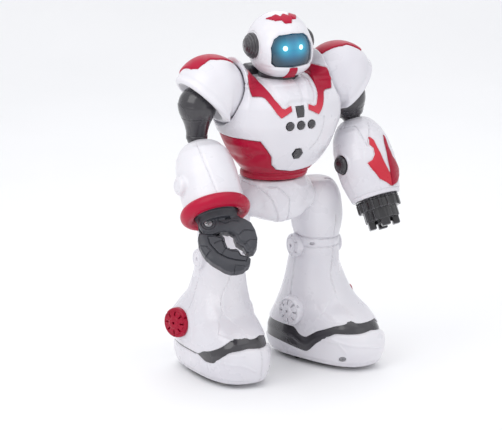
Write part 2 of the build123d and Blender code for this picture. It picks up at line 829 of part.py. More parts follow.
# shoe and the band above it: z, half width, half length
SHOE = [(4.3, 29, 57), (11, 33.5, 62.5), (20, 35, 64.5), (30, 35, 63), (39, 34.2, 60)]
BAND = [(39.4, 33.2, 58.6), (43, 33.4, 57.5), (47.1, 33.2, 55.5)]
# z, half width, half depth, y of the middle
PELVIS = [(198, 33, 29, 0), (190, 37, 32, 0), (178, 36, 33, -1), (167, 27, 28, -4),
          (157, 13, 18, -7)]
SHOE_WALL = 3.0
DISC_FIT = 0.15                 # gap between the side discs and what they sit on


class Foot:
    """Frame of one foot: x across, y towards the heel, z up from the ground."""

    def __init__(self, side, x, y, toe_out):
        self.side = side
        self.x = x
        self.y = y
        self.turn = side * toe_out
        angle = radians(self.turn)
        self.across = Vector(cos(angle), sin(angle), 0)
        self.heelward = Vector(-sin(angle), cos(angle), 0)

    def plane(self, z):
        """Level plane, local y towards the heel."""
        return Plane((self.x, self.y, z), x_dir=self.across, z_dir=UP)

    def point(self, x, y, z):
        return Vector(self.x, self.y, z) + self.across * x + self.heelward * y


RIGHT_FOOT = Foot(side=-1, x=-57.5, y=5.0, toe_out=7.0)
LEFT_FOOT = Foot(side=1, x=59.0, y=5.0, toe_out=17.0)


def leg_stations(foot, table):
    """Stations of one leg; the toe-out comes in between z = 110 and z = 60."""
    return [(z, half_x, half_y, foot.side * x, y,
             foot.turn * max(0.0, min(1.0, (110 - z) / 50)))
            for z, half_x, half_y, x, y in table]


def shoe_loft(foot, table, grow=0.0, first_shift=0.0, last_shift=0.0):
    stations = [(*row, foot.x, foot.y, foot.turn) for row in table]
    return ellipse_loft(stations, grow, first_shift, last_shift)


def pelvis_shell():
    """Hollow pelvis with seats for the hips and a boss around the waist shaft."""
    right_hip, left_hip = [ellipse_loft(leg_stations(foot, HIP), 0.35)
                           for foot in (RIGHT_FOOT, LEFT_FOOT)]
    stations = centred(PELVIS)
    walls = ellipse_loft(stations) - ellipse_loft(stations, -WALL, -WALL, WALL)
    with BuildPart() as pelvis:
        add(walls - right_hip - left_hip)
        add(rod((0, 0, 179), UP, 11, 17))
        add(rod((0, 0, 170), UP, WAIST_R, 40), mode=Mode.SUBTRACT)
    return pelvis.part


def leg_shell(foot):
    """Hollow leg, open at the bottom."""
    stations = leg_stations(foot, LEG)
    with BuildPart() as leg:
        add(ellipse_loft(stations) - ellipse_loft(stations, -WALL, -WALL, -0.01))
    return largest(leg.part)


def shoe_shell(foot, table, inner_top_shift):
    inner = shoe_loft(foot, table, -SHOE_WALL, -0.5, inner_top_shift)
    with BuildPart() as shell:
        add(shoe_loft(foot, table) - inner)
    return shell.part


def foot_shell(foot):
    """Shoe, open at the bottom and closed on top."""
    return shoe_shell(foot, SHOE, -SHOE_WALL)


def instep_band(foot):
    """Band around the instep, open at both ends."""
    return shoe_shell(foot, BAND, 0.5)


def leg_solid(foot):
    return ellipse_loft(leg_stations(foot, LEG), DISC_FIT)


def knee_disc(foot):
    """Stepped disc on the inner side of the knee."""
    inward = (-foot.side, 0, 0)
    disc = stepped((foot.side * 46.0, 8, 120), inward, ((12.0, 18.4), (9.5, 1.8)))
    return largest(disc - leg_solid(foot))


def ankle_disc(foot, y, direction, start, steps):
    """Stepped disc at the ankle, cut back to the leg and the shoe."""
    base = Vector(foot.side * 57.5, y, 62) + direction * start
    shoe = shoe_loft(foot, BAND, DISC_FIT) + shoe_loft(foot, SHOE, DISC_FIT)
    return largest(stepped(base, direction, steps) - leg_solid(foot) - shoe)


def inner_ankle_disc(foot):
    return ankle_disc(foot, 12, foot.across * -foot.side, 24, ((14.5, 13.5), (11.5, 2.0)))


def outer_ankle_disc(foot):
    return ankle_disc(foot, 14, foot.across * foot.side, 22, ((15.5, 15.0), (12.0, 2.0)))


# ---------------------------------------------------------------- foot drive
WHEEL_R = 8.0
AXLE_R = 1.5
AXLE_Y = 14.0                   # from the middle of the foot towards the heel
MODULE, GEAR_TEETH, PINION_TEETH = 0.7, 18, 9
PINION_ANGLE = radians(88)      # direction from the axle to the pinion
PINION_SHAFT_R = 1.0
SHAFT_DISTANCE = MODULE * (GEAR_TEETH + PINION_TEETH) / 2 + 0.12
PINION_Y = AXLE_Y + SHAFT_DISTANCE * cos(PINION_ANGLE)
PINION_Z = WHEEL_R + SHAFT_DISTANCE * sin(PINION_ANGLE)
SOLE_Z, SOLE_T = 4.5, 1.8       # underside and thickness of the sole plate
GLIDES = [(-8, -40), (8, -40), (-8, 41), (8, 41)]
SOLE_SCREWS = ((-12, -26), (12, -26))


def gear_outline(teeth, phase):
    """Points of a gear with straight-sided teeth."""
    pitch_r = teeth * MODULE / 2
    # radius, half the tooth's width as a share of the pitch
    flank = [(pitch_r - 1.2 * MODULE, 0.30), (pitch_r, 0.19), (pitch_r + 0.92 * MODULE, 0.09)]
    tooth = [(r, -half) for r, half in flank] + [(r, half) for r, half in reversed(flank)]
    points = []
    for i in range(teeth):
        for r, offset in tooth:
            angle = 2 * pi * (i + offset) / teeth + phase
            points.append((r * cos(angle), r * sin(angle)))
    return points


def drive_plane(foot, y, z):
    """Plane across the foot at a shaft, local x towards the heel."""
    return Plane(foot.point(0, y, z), x_dir=foot.heelward, z_dir=foot.across)


def sole_plate(foot):
    with BuildPart() as sole:
        with BuildSketch(foot.plane(SOLE_Z)):
            Ellipse(25.6, 53.6)
            with Locations((-17, AXLE_Y), (17, AXLE_Y)):
                Rectangle(9.6, 19, mode=Mode.SUBTRACT)
            with Locations((0, AXLE_Y)):
                Rectangle(7, 16.5, mode=Mode.SUBTRACT)
        extrude(amount=SOLE_T)
        # axle bearings
        with BuildSketch(foot.plane(SOLE_Z + SOLE_T)):
            with Locations((-9, AXLE_Y), (9, AXLE_Y)):
                Rectangle(3, 9)
        extrude(amount=4.4)
        bore = rod(foot.point(-30, AXLE_Y, WHEEL_R), foot.across, AXLE_R + RUN, 60)
        add(bore, mode=Mode.SUBTRACT)
        # motor cradle
        with BuildSketch(foot.plane(SOLE_Z + SOLE_T)):
            with Locations((9.0, AXLE_Y + 8.4), (9.0, AXLE_Y - 7.8)):
                Rectangle(3, 2)
        extrude(amount=8.7)
    return sole.part


def drive_motor(foot):
    face = foot.point(4.2, PINION_Y, PINION_Z)
    with BuildPart() as motor:
        add(rod(face, foot.across, 6.6, 8.2))
        add(rod(face, foot.across, PINION_SHAFT_R + RUN, 6.5), mode=Mode.SUBTRACT)
    return motor.part


def glide_pads(foot):
    """Four round pads from the ground to the sole."""
    with BuildPart() as pads:
        with BuildSketch(foot.plane(0)):
            with Locations(*GLIDES):
                Circle(5)
        extrude(amount=SOLE_Z)
    return pads.part


def sole_screw(foot, place):
    """Screw head under the sole, its cross recess facing down."""
    height = 2.2
    with BuildPart() as screw:
        with BuildSketch(foot.plane(SOLE_Z - height)):
            with Locations(place):
                Circle(3)
        extrude(amount=height)
        with BuildSketch(foot.plane(SOLE_Z - height)):
            with Locations(place):
                cross(3.8, 0.8)
        extrude(amount=height / 2, mode=Mode.SUBTRACT)
    return screw.part


def sole_screws(foot):
    first, second = [sole_screw(foot, place) for place in SOLE_SCREWS]
    return first + second


def drive_axle(foot):
    """Axle with its gear in the middle."""
    plane = drive_plane(foot, AXLE_Y, WHEEL_R)
    with BuildPart() as axle:
        with BuildSketch(plane.offset(-21.5)):
            Circle(AXLE_R)
        extrude(amount=43)
        add(prism(plane.offset(-2), gear_outline(GEAR_TEETH, PINION_ANGLE), 4))
    return axle.part


def drive_wheels(foot):
    plane = drive_plane(foot, AXLE_Y, WHEEL_R)
    with BuildPart() as wheels:
        for x in (-21, 13):
            with BuildSketch(plane.offset(x)):
                Circle(WHEEL_R)
                Circle(AXLE_R, mode=Mode.SUBTRACT)
            extrude(amount=8)
        fillet(wheels.edges().filter_by(GeomType.CIRCLE).group_by(SortBy.LENGTH)[-1], 0.8)
    return wheels.part


def motor_pinion(foot):
    """Pinion meshing with the axle's gear, and its shaft into the motor."""
    half_width = 2.4
    plane = drive_plane(foot, PINION_Y, PINION_Z)
    teeth = gear_outline(PINION_TEETH, PINION_ANGLE + pi + pi / PINION_TEETH)
    with BuildPart() as pinion:
        add(prism(plane.offset(-half_width), teeth, 2 * half_width))
        with BuildSketch(plane.offset(half_width)):
            Circle(PINION_SHAFT_R)
        extrude(amount=7)
    return pinion.part


# ---------------------------------------------------------------- files
for make in (
    chest_front, chest_back, battery_door, battery_door_screw, waist_shell, waist_shaft,
    chest_stripes, sensor_window, hex_button, power_switch, neck_collar, control_board,
    speaker, battery_pack, arm_gearboxes,
    helmet_shell, face_jaw, visor, eye_lenses, head_trim, ear_discs, neck_shaft, eye_board,
    right_forearm_shell, wrist_ring, claw_palm, claw_jaw, claw_pivot_screw,
    left_forearm_shell, launch_knob, barrel, forearm_inlay, pelvis_shell,
):
    save(make(), make.__name__)

for place, x in (("right", -BUTTON_PITCH), ("middle", 0), ("left", BUTTON_PITCH)):
    save(chest_button(x), place + "_chest_button")

for side_name, arm, foot in (("right", RIGHT_ARM, RIGHT_FOOT), ("left", LEFT_ARM, LEFT_FOOT)):
    for make in (shoulder_pad, shoulder_cap, upper_arm):
        save(make(arm), side_name + "_" + make.__name__)
    for make in (leg_shell, foot_shell, drive_axle, drive_wheels, motor_pinion):
        save(make(foot), side_name + "_" + make.__name__)

# right and left pieces that share a file
for make, name in (
    (instep_band, "instep_bands"), (sole_plate, "sole_plates"),
    (drive_motor, "drive_motors"), (glide_pads, "glide_pads"),
    (sole_screws, "sole_screws"), (knee_disc, "knee_discs"),
    (inner_ankle_disc, "inner_ankle_discs"), (outer_ankle_disc, "outer_ankle_discs"),
):
    save(make(RIGHT_FOOT) + make(LEFT_FOOT), name)
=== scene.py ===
"""Toy robot with a claw on its right arm and a barrel on its left.

It stands on z = 0 and faces -Y, so its right arm is on -X. Every piece is a distance field
in millimetres (negative inside) that is meshed and scaled to metres.
"""
import math

import bmesh
import bpy
import numpy as np
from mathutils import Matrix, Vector


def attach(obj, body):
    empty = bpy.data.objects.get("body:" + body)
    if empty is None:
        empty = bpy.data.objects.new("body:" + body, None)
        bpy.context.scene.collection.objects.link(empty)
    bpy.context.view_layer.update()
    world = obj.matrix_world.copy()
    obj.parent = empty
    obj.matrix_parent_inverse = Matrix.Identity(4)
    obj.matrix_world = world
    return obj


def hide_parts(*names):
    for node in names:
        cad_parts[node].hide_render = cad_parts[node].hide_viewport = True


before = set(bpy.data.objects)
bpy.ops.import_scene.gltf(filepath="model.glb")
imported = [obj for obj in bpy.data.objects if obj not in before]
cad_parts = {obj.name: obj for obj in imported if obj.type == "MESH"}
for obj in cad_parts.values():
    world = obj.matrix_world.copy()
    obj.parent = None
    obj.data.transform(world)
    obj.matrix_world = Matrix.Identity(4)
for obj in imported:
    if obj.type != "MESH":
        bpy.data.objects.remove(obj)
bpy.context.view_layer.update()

F32 = np.float32
VOXEL = 0.95    # base cell of the meshes
BLOCK = 8                               # cells along a block of the sampling grid
REACH = 1.35                            # allowance for fields that overstate distance
SIDES = ("right", "left")

# Places shared by several pieces
SHOULDER = (72.0, -5.0, 293.0)          # left shoulder; the right one mirrors it
NECK_Y = -13.0                          # axis the head turns about
EAR_Z = 335.5
EYE_X, EYE_Z = 8.7, 336.0
BUTTONS = {"right": -12.0, "middle": 0.0, "left": 12.0}     # x of the chest buttons
BUTTON_Z, BUTTON_RADIUS = 261.0, 3.9
HEX_Z, HEX_RADIUS = 231.0, 5.7
DOOR_Z, DOOR_HALF = 253.0, (23.0, 17.0)
TOE_SCREW = (50.0, 14.0)                # x, z


# ---------------------------------------------------------------- vectors and curves
def unit(vector):
    vector = np.array(vector, float)
    return vector / np.linalg.norm(vector)


def floats(values):
    return [float(value) for value in values]


def offset(point, direction, distance):
    return tuple(float(point[i] + direction[i] * distance) for i in range(3))


def turned(u, v, cosine, sine):
    return u * cosine + v * sine, -u * sine + v * cosine


def ease(value):
    value = np.clip(value, 0.0, 1.0)
    return value * value * (3 - 2 * value)


def monotone(knots, values, at):
    """Monotone cubic through the points, evaluated at the given places."""
    knots = np.asarray(knots, float)
    values = np.asarray(values, float)
    gap = np.diff(knots)
    rise = np.diff(values) / gap
    slope = np.zeros_like(values)
    for i in range(1, len(knots) - 1):
        if rise[i - 1] * rise[i] > 0:
            before = 2 * gap[i] + gap[i - 1]
            after = gap[i] + 2 * gap[i - 1]
            slope[i] = (before + after) / (before / rise[i - 1] + after / rise[i])
    slope[0], slope[-1] = rise[0], rise[-1]
    i = np.clip(np.searchsorted(knots, at) - 1, 0, len(knots) - 2)
    t = (np.clip(at, knots[0], knots[-1]) - knots[i]) / gap[i]
    start = 2 * t**3 - 3 * t**2 + 1
    start_slope = t**3 - 2 * t**2 + t
    end = -2 * t**3 + 3 * t**2
    end_slope = t**3 - t**2
    return (start * values[i] + start_slope * gap[i] * slope[i]
            + end * values[i + 1] + end_slope * gap[i] * slope[i + 1])


def smooth_line(points):
    """Catmull-Rom curve through the points, in about 24 steps."""
    knots = np.array([points[0]] + list(points) + [points[-1]], float)
    steps = max(2, 24 // (len(knots) - 3) + 1)
    curve = []
    for i in range(1, len(knots) - 2):
        before, start, end, after = knots[i - 1:i + 3]
        for t in np.linspace(0, 1, steps)[:-1]:
            curve.append(0.5 * (2 * start + (end - before) * t
                                + (2 * before - 5 * start + 4 * end - after) * t**2
                                + (3 * start - before - 3 * end + after) * t**3))
    curve.append(knots[-2])
    return [tuple(floats(point)) for point in curve]


# ---------------------------------------------------------------- field shapes
def radius(u, v, centre_u=0.0, centre_v=0.0):
    return np.sqrt((u - centre_u)**2 + (v - centre_v)**2)


def rectangle(u, v, half_u, half_v):
    return np.maximum(np.abs(u) - half_u, np.abs(v) - half_v)


def cross_slot(u, v, reach, half_width):
    return np.minimum(rectangle(u, v, reach, half_width), rectangle(v, u, reach, half_width))


def sphere(x, y, z, centre, size):
    cx, cy, cz = floats(centre)
    return np.sqrt((x - cx)**2 + (y - cy)**2 + (z - cz)**2) - size


def ellipsoid(x, y, z, centre, size):
    px, py, pz = ((value - middle) / half for value, middle, half in zip((x, y, z), centre, size))
    scaled = np.sqrt(px * px + py * py + pz * pz) + 1e-6
    slope = np.sqrt((px / size[0])**2 + (py / size[1])**2 + (pz / size[2])**2) + 1e-6
    return scaled * (scaled - 1.0) / slope


def rounded_box(x, y, z, centre, half, corner):
    qx, qy, qz = (abs(value - middle) - (size - corner)
                  for value, middle, size in zip((x, y, z), centre, half))
    outside = np.sqrt(np.maximum(qx, 0)**2 + np.maximum(qy, 0)**2 + np.maximum(qz, 0)**2)
    return outside + np.minimum(np.maximum(qx, np.maximum(qy, qz)), 0) - corner


def local(x, y, z, origin, *axes):
    """Coordinates along each axis, measured from the origin."""
    ox, oy, oz = floats(origin)
    dx, dy, dz = x - ox, y - oy, z - oz
    return [dx * ax + dy * ay + dz * az for ax, ay, az in map(floats, axes)]


def along(x, y, z, origin, axis):
    """Distance along the axis from the origin, and away from the axis."""
    ox, oy, oz = floats(origin)
    ax, ay, az = floats(axis)
    dx, dy, dz = x - ox, y - oy, z - oz
    ahead = dx * ax + dy * ay + dz * az
    return ahead, np.sqrt(np.maximum(dx * dx + dy * dy + dz * dz - ahead * ahead, 0))


def cylinder(x, y, z, origin, axis, size, length, blend):
    ahead, away = along(x, y, z, origin, axis)
    return soft_max(away - size, np.maximum(ahead - length, 0.0 - ahead), blend)


def fold(angle, count):
    """Angle from the nearest of `count` equal spokes."""
    pitch = 2 * math.pi / count
    return angle - np.round(angle / pitch) * pitch


def spoke(away, angle, count):
    """Coordinates along and across the nearest spoke."""
    angle = fold(angle, count)
    return away * np.cos(angle), away * np.sin(angle)


def segment(u, v, start, end):
    """Squared distance to a segment, then the segment and the point as seen from its start."""
    run_u, run_v = end[0] - start[0], end[1] - start[1]
    to_u, to_v = u - start[0], v - start[1]
    t = np.clip((to_u * run_u + to_v * run_v) / (run_u * run_u + run_v * run_v + 1e-12), 0, 1)
    square = (to_u - run_u * t)**2 + (to_v - run_v * t)**2
    return square, run_u, run_v, to_u, to_v


def polygon(u, v, corners):
    """Signed distance to a closed outline, negative inside."""
    least = np.full(u.shape, 1e9, F32)
    sign = np.ones(u.shape, F32)
    for i, start in enumerate(corners):
        end = corners[i - 1]
        square, run_u, run_v, to_u, to_v = segment(u, v, start, end)
        least = np.minimum(least, square)
        above = v >= start[1]
        below = v < end[1]
        left = run_u * to_v > run_v * to_u
        flip = (above & below & left) | (~above & ~below & ~left)
        sign = np.where(flip, -sign, sign)
    return sign * np.sqrt(least)


def polyline(u, v, points):
    least = np.full(u.shape, 1e9, F32)
    for start, end in zip(points, points[1:]):
        least = np.minimum(least, segment(u, v, start, end)[0])
    return np.sqrt(least)


class Stack:
    """Superellipses stacked in z. Rows: z, half x, half y, centre x, centre y[, exponent]."""

    def __init__(self, rows, exponent=2.0, turn=None, back_exponent=None, samples=600):
        columns = list(zip(*sorted(rows, key=lambda row: row[0])))
        heights = columns[0]
        self.bottom, self.top = heights[0], heights[-1]
        self.levels = np.linspace(self.bottom, self.top, samples)
        self.tables = [monotone(heights, column, self.levels).astype(F32)
                       for column in columns[1:5]]
        if len(columns) > 5:
            self.exponent = monotone(heights, columns[5], self.levels).astype(F32)
        else:
            self.exponent = np.full(samples, exponent, F32)
        slope = np.maximum(np.abs(np.gradient(self.tables[0], self.levels)),
                           np.abs(np.gradient(self.tables[1], self.levels)))
        self.slope = (1.0 / np.sqrt(1 + np.minimum(slope, 4.0)**2)).astype(F32)
        self.turn = turn
        self.back_exponent = back_exponent

    def __call__(self, x, y, z, end_blend):
        level = np.clip(z, self.bottom, self.top)
        half_x, half_y, middle_x, middle_y, power, slope = (
            np.interp(level, self.levels, table).astype(F32)
            for table in self.tables + [self.exponent, self.slope])
        u, v = x - middle_x, y - middle_y
        if self.turn is not None:
            angle = self.turn(level)
            u, v = turned(u, v, np.cos(angle), np.sin(angle))
        if self.back_exponent is not None:
            power = np.where(v < 0, power, F32(self.back_exponent))
        scaled_u, scaled_v = np.abs(u) / half_x + 1e-6, np.abs(v) / half_y + 1e-6
        scaled = (scaled_u**power + scaled_v**power)**(1.0 / power)
        away = np.sqrt(u * u + v * v)
        form = np.where(scaled > 0.3, away * (1 - 1 / np.maximum(scaled, 0.3)),
                        -np.minimum(half_x, half_y) * (1 - scaled))
        form = form * slope
        return soft_max(form, np.maximum(z - self.top, self.bottom - z), end_blend)


# ---------------------------------------------------------------- field operations
# A field's rounding decides which cells get a vertex, so the order of its sums matters.
def soft_min(one, two, blend):
    near = np.maximum(blend - np.abs(one - two), 0.0) / blend
    return np.minimum(one, two) - near * near * blend * 0.25


def soft_max(one, two, blend):
    near = np.maximum(blend - np.abs(one - two), 0.0) / blend
    return np.maximum(one, two) + near * near * blend * 0.25


def bell(distance, width):
    return np.exp(-(distance / width)**2)


def double_bell(u, width_u, v, width_v):
    return np.exp(-(u / width_u)**2 - (v / width_v)**2)


def engrave(form, where, *grooves):
    """Presses in round grooves, each (distance to its line, width, depth)."""
    for distance, width, depth in grooves:
        t = np.clip(1 - np.abs(distance) / (width * 0.5), 0, 1)
        form = form + depth * np.sqrt(t * (2 - t)) * where
    return form


def swell(form, where, *ridges):
    """Raises soft ridges, each (distance to its line, width, height); negative ones sink."""
    for distance, width, height in ridges:
        form = form - height * bell(distance, width) * where
    return form


def sink(form, outline, floor, blend):
    """Cuts away what is inside both the outline and the floor."""
    return soft_max(form, -np.maximum(outline, floor), blend)


def recess(form, outline, depth, blend, where=True, skin=None):
    """Cuts the outline to a depth below the skin, which is the form itself by default."""
    skin = form if skin is None else skin
    return np.where(where, sink(form, outline, -(skin + depth), blend), form)


def plate(skin, outline, rise, gap, blend, depth):
    """A layer on the skin: it stands `rise` proud and is `gap` smaller than its outline."""
    return np.maximum(soft_max(skin - rise, outline + gap, blend), -(skin + depth))


# ---------------------------------------------------------------- mesher
CORNERS = np.array([(i, j, k) for k in (0, 1) for j in (0, 1) for i in (0, 1)])
CELL_EDGES = [(0, 1), (2, 3), (4, 5), (6, 7), (0, 2), (1, 3), (4, 6), (5, 7),
              (0, 4), (1, 5), (2, 6), (3, 7)]


def gradient(field, points, step):
    x, y, z = points[:, 0], points[:, 1], points[:, 2]
    return np.stack([field(x + step, y, z) - field(x - step, y, z),
                     field(x, y + step, z) - field(x, y - step, z),
                     field(x, y, z + step) - field(x, y, z - step)], 1) / (2 * step)


def sample(field, low, high, cell):
    """Field values on a grid, worked out only in blocks that the surface may cross."""
    blocks = np.maximum(1, np.ceil((high - low) / (cell * BLOCK)).astype(int))
    size = BLOCK * cell
    centres = [low[i] + (np.arange(blocks[i]) + 0.5) * size for i in range(3)]
    x, y, z = (c.ravel().astype(F32) for c in np.meshgrid(*centres, indexing="ij"))
    coarse = field(x, y, z).reshape(blocks)
    active = np.argwhere(np.abs(coarse) < size * 0.87 * REACH + 1.0)
    grid = np.ones(blocks * BLOCK + 1, F32) * 9
    fill = np.where(coarse < 0, -9, 9).astype(F32)
    for axis in range(3):
        fill = np.repeat(fill, BLOCK, axis)
    grid[:-1, :-1, :-1] = fill
    step = np.arange(BLOCK + 1) * cell
    steps = [s.ravel()[None] for s in np.meshgrid(step, step, step, indexing="ij")]
    for first in range(0, len(active), 512):
        part = active[first:first + 512]
        base = low + part * size
        x, y, z = ((base[:, i, None] + steps[i]).astype(F32).ravel() for i in range(3))
        values = field(x, y, z).reshape(len(part), BLOCK + 1, BLOCK + 1, BLOCK + 1)
        for block, (i, j, k) in zip(values, part * BLOCK):
            grid[i:i + BLOCK + 1, j:j + BLOCK + 1, k:k + BLOCK + 1] = block
    return grid


def cell_points(grid, inside, low, cell):
    """One vertex in each crossed cell, and its index by cell."""
    shape = tuple(count - 1 for count in inside.shape)
    total = np.zeros(shape, np.uint8)
    for i, j, k in CORNERS:
        total += inside[i:i + shape[0], j:j + shape[1], k:k + shape[2]]
    cells = np.argwhere((total > 0) & (total < 8))
    index = np.full(shape, -1, np.int32)
    index[cells[:, 0], cells[:, 1], cells[:, 2]] = np.arange(len(cells))
    values = np.stack([grid[cells[:, 0] + i, cells[:, 1] + j, cells[:, 2] + k]
                       for i, j, k in CORNERS], 1)
    total = np.zeros((len(cells), 3))
    count = np.zeros(len(cells))
    for start, end in CELL_EDGES:
        at_start, at_end = values[:, start], values[:, end]
        crossed = (at_start < 0) != (at_end < 0)
        t = np.where(crossed, at_start / np.where(crossed, at_start - at_end, 1), 0)
        run = (CORNERS[end] - CORNERS[start])[None]
        point = CORNERS[start][None] + run * t[:, None]
        total += point * crossed[:, None]
        count += crossed
    return low + (cells + total / count[:, None]) * cell, index


def cell_quads(inside, index):
    """A quad round every grid edge that crosses the surface."""
    quads = []
    for axis in range(3):
        u, v = (axis + 1) % 3, (axis + 2) % 3
        lower, upper = [slice(None)] * 3, [slice(None)] * 3
        lower[axis] = slice(0, inside.shape[axis] - 1)
        upper[axis] = slice(1, None)
        near, far = inside[tuple(lower)], inside[tuple(upper)]
        edges = np.argwhere(near != far)
        edges = edges[(edges[:, u] > 0) & (edges[:, v] > 0)
                      & (edges[:, u] < inside.shape[u] - 1) & (edges[:, v] < inside.shape[v] - 1)]
        outward = near[edges[:, 0], edges[:, 1], edges[:, 2]]
        ring = []
        for step_u, step_v in ((-1, -1), (0, -1), (0, 0), (-1, 0)):
            cells = edges.copy()
            cells[:, u] += step_u
            cells[:, v] += step_v
            ring.append(index[cells[:, 0], cells[:, 1], cells[:, 2]])
        ring = np.stack(ring, 1)
        ring[~outward] = ring[~outward][:, ::-1]
        quads.append(ring)
    quads = np.concatenate(quads)
    return quads[(quads >= 0).all(1)]


def surface(field, low, high, cell):
    """Points, quads and normals of the zero surface."""
    low, high = np.array(low, float), np.array(high, float)
    grid = sample(field, low, high, cell)
    inside = grid < 0
    points, index = cell_points(grid, inside, low, cell)
    quads = cell_quads(inside, index)
    points = points.astype(F32)
    start = points.copy()
    for i in range(3):                  # pull the points onto the surface
        value = field(points[:, 0], points[:, 1], points[:, 2])
        slope = gradient(field, points, F32(0.12))
        move = -value[:, None] * slope / np.maximum((slope * slope).sum(1), 0.15)[:, None]
        length = np.linalg.norm(move, axis=1)
        move *= np.minimum(1, (0.5 * cell) / np.maximum(length, 1e-6))[:, None]
        points = points + move
    moved = points - start
    length = np.linalg.norm(moved, axis=1)
    points = start + moved * np.minimum(1, (0.85 * cell) / np.maximum(length, 1e-6))[:, None]
    normals = gradient(field, points, F32(0.30))
    normals /= np.maximum(np.linalg.norm(normals, axis=1), 1e-6)[:, None]
    return points, quads, normals


def largest_parts(points, quads, normals, keep):
    """Keeps only the `keep` largest connected parts."""
    label = np.arange(len(points))
    edges = np.concatenate([quads[:, [i, (i + 1) % 4]] for i in range(4)])
    while True:
        old = label.copy()
        least = np.minimum(label[edges[:, 0]], label[edges[:, 1]])
        np.minimum.at(label, edges[:, 0], least)
        np.minimum.at(label, edges[:, 1], least)
        label = label[label]
        label = label[label]
        if (old == label).all():
            break
    labels, counts = np.unique(label, return_counts=True)
    kept = np.isin(label, labels[np.argsort(-counts)[:keep]])
    index = np.cumsum(kept) - 1
    return points[kept], index[quads[kept[quads[:, 0]]]], normals[kept]


def build(name, points, quads, normals):
    """Smooth object from millimetre points, with the field's own normals."""
    mesh = bpy.data.meshes.new(name)
    mesh.vertices.add(len(points))
    mesh.vertices.foreach_set("co", (points * 0.001).astype(F32).ravel())
    mesh.loops.add(len(quads) * 4)
    mesh.loops.foreach_set("vertex_index", quads.astype(np.int32).ravel())
    mesh.polygons.add(len(quads))
    mesh.polygons.foreach_set("loop_start", np.arange(0, len(quads) * 4, 4, dtype=np.int32))
    mesh.polygons.foreach_set("use_smooth", np.ones(len(quads), bool))
    mesh.update(calc_edges=True)
    mesh.validate()
    mesh.normals_split_custom_set_from_vertices([tuple(n) for n in normals.astype(float)])
    made = bpy.data.objects.new(name, mesh)
    bpy.context.scene.collection.objects.link(made)
    return made


def make(name, field, low, high, rides, material, stands=(), cell=VOXEL, keep=1):
    made = build(name, *largest_parts(*surface(field, low, high, cell), keep))
    made.data.materials.append(material)
    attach(made, rides)
    if stands:
        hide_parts(*stands)


# ---------------------------------------------------------------- materials
def srgb(code):
    channels = [int(code[i:i + 2], 16) / 255 for i in (1, 3, 5)]
    return [c / 12.92 if c <= 0.04045 else ((c + 0.055) / 1.055)**2.4 for c in channels] + [1.0]


class Shader:
    """A principled material built node by node."""

    def __init__(self, name):
        self.material = bpy.data.materials.new(name)
        self.material.use_nodes = True
        self.tree = self.material.node_tree
        self.tree.nodes.clear()
        output = self.node("OutputMaterial")
        self.surface = self.node("BsdfPrincipled")
        self.tree.links.new(self.surface.outputs[0], output.inputs[0])
        self.place = self.node("TexCoord").outputs["Object"]

    def node(self, kind):
        return self.tree.nodes.new("ShaderNode" + kind)

    def put(self, socket, value):
        if isinstance(value, bpy.types.NodeSocket):
            self.tree.links.new(value, socket)
        else:
            socket.default_value = value

    def noise(self, scale, detail=3.0, rough=0.55):
        node = self.node("TexNoise")
        for key, value in (("Scale", scale), ("Detail", detail), ("Roughness", rough),
                           ("Vector", self.place)):
            self.put(node.inputs[key], value)
        return node.outputs["Fac"]

    def mix(self, factor, first, second):
        node = self.node("Mix")
        node.data_type = "RGBA"
        node.blend_type = "MIX"
        for i, value in ((0, factor), (6, first), (7, second)):
            self.put(node.inputs[i], value)
        return node.outputs[2]

    def math(self, operation, first, second=0.0, clamp=False):
        node = self.node("Math")
        node.operation = operation
        node.use_clamp = clamp
        self.put(node.inputs[0], first)
        self.put(node.inputs[1], second)
        return node.outputs[0]

    def remap(self, value, low, high, to_low=0.0, to_high=1.0):
        node = self.node("MapRange")
        for i, setting in enumerate((value, low, high, to_low, to_high)):
            self.put(node.inputs[i], setting)
        return node.outputs[0]

    def split(self):
        node = self.node("SeparateXYZ")
        self.put(node.inputs[0], self.place)
        return node.outputs

    def rub(self, color, wear, edges, scale, detail, patches, amount):
        """Lightens sharp convex edges in patches."""
        scratches = self.noise(scale, detail, rough=0.7)
        pointiness = self.node("NewGeometry").outputs["Pointiness"]
        worn = self.math("MULTIPLY", self.remap(pointiness, *edges),
                         self.remap(scratches, *patches), clamp=True)
        return self.mix(self.math("MULTIPLY", worn, amount), color, wear)

    def bump(self, height, strength, distance, normal=None):
        node = self.node("Bump")
        node.inputs["Strength"].default_value = strength
        node.inputs["Distance"].default_value = distance
        self.put(node.inputs["Height"], height)
        if normal is not None:
            self.put(node.inputs["Normal"], normal)
        return node.outputs[0]

    def finish(self, color, rough, normal=None, coat=0.0, coat_rough=0.05, spec=0.5, metal=0.0,
               scatter=0.0, glow=None, glow_strength=0.0):
        settings = {"Base Color": color, "Roughness": rough, "Metallic": metal, "IOR": 1.5,
                    "Coat Weight": coat, "Coat Roughness": coat_rough,
                    "Specular IOR Level": spec}
        if normal is not None:
            settings["Normal"] = normal
        if scatter:
            settings["Subsurface Weight"] = scatter
            settings["Subsurface Radius"] = (0.004, 0.003, 0.003)
            settings["Subsurface Scale"] = 0.5
        if glow is not None:
            settings["Emission Color"] = glow
            settings["Emission Strength"] = glow_strength
        for key, value in settings.items():
            self.put(self.surface.inputs[key], value)
        return self.material


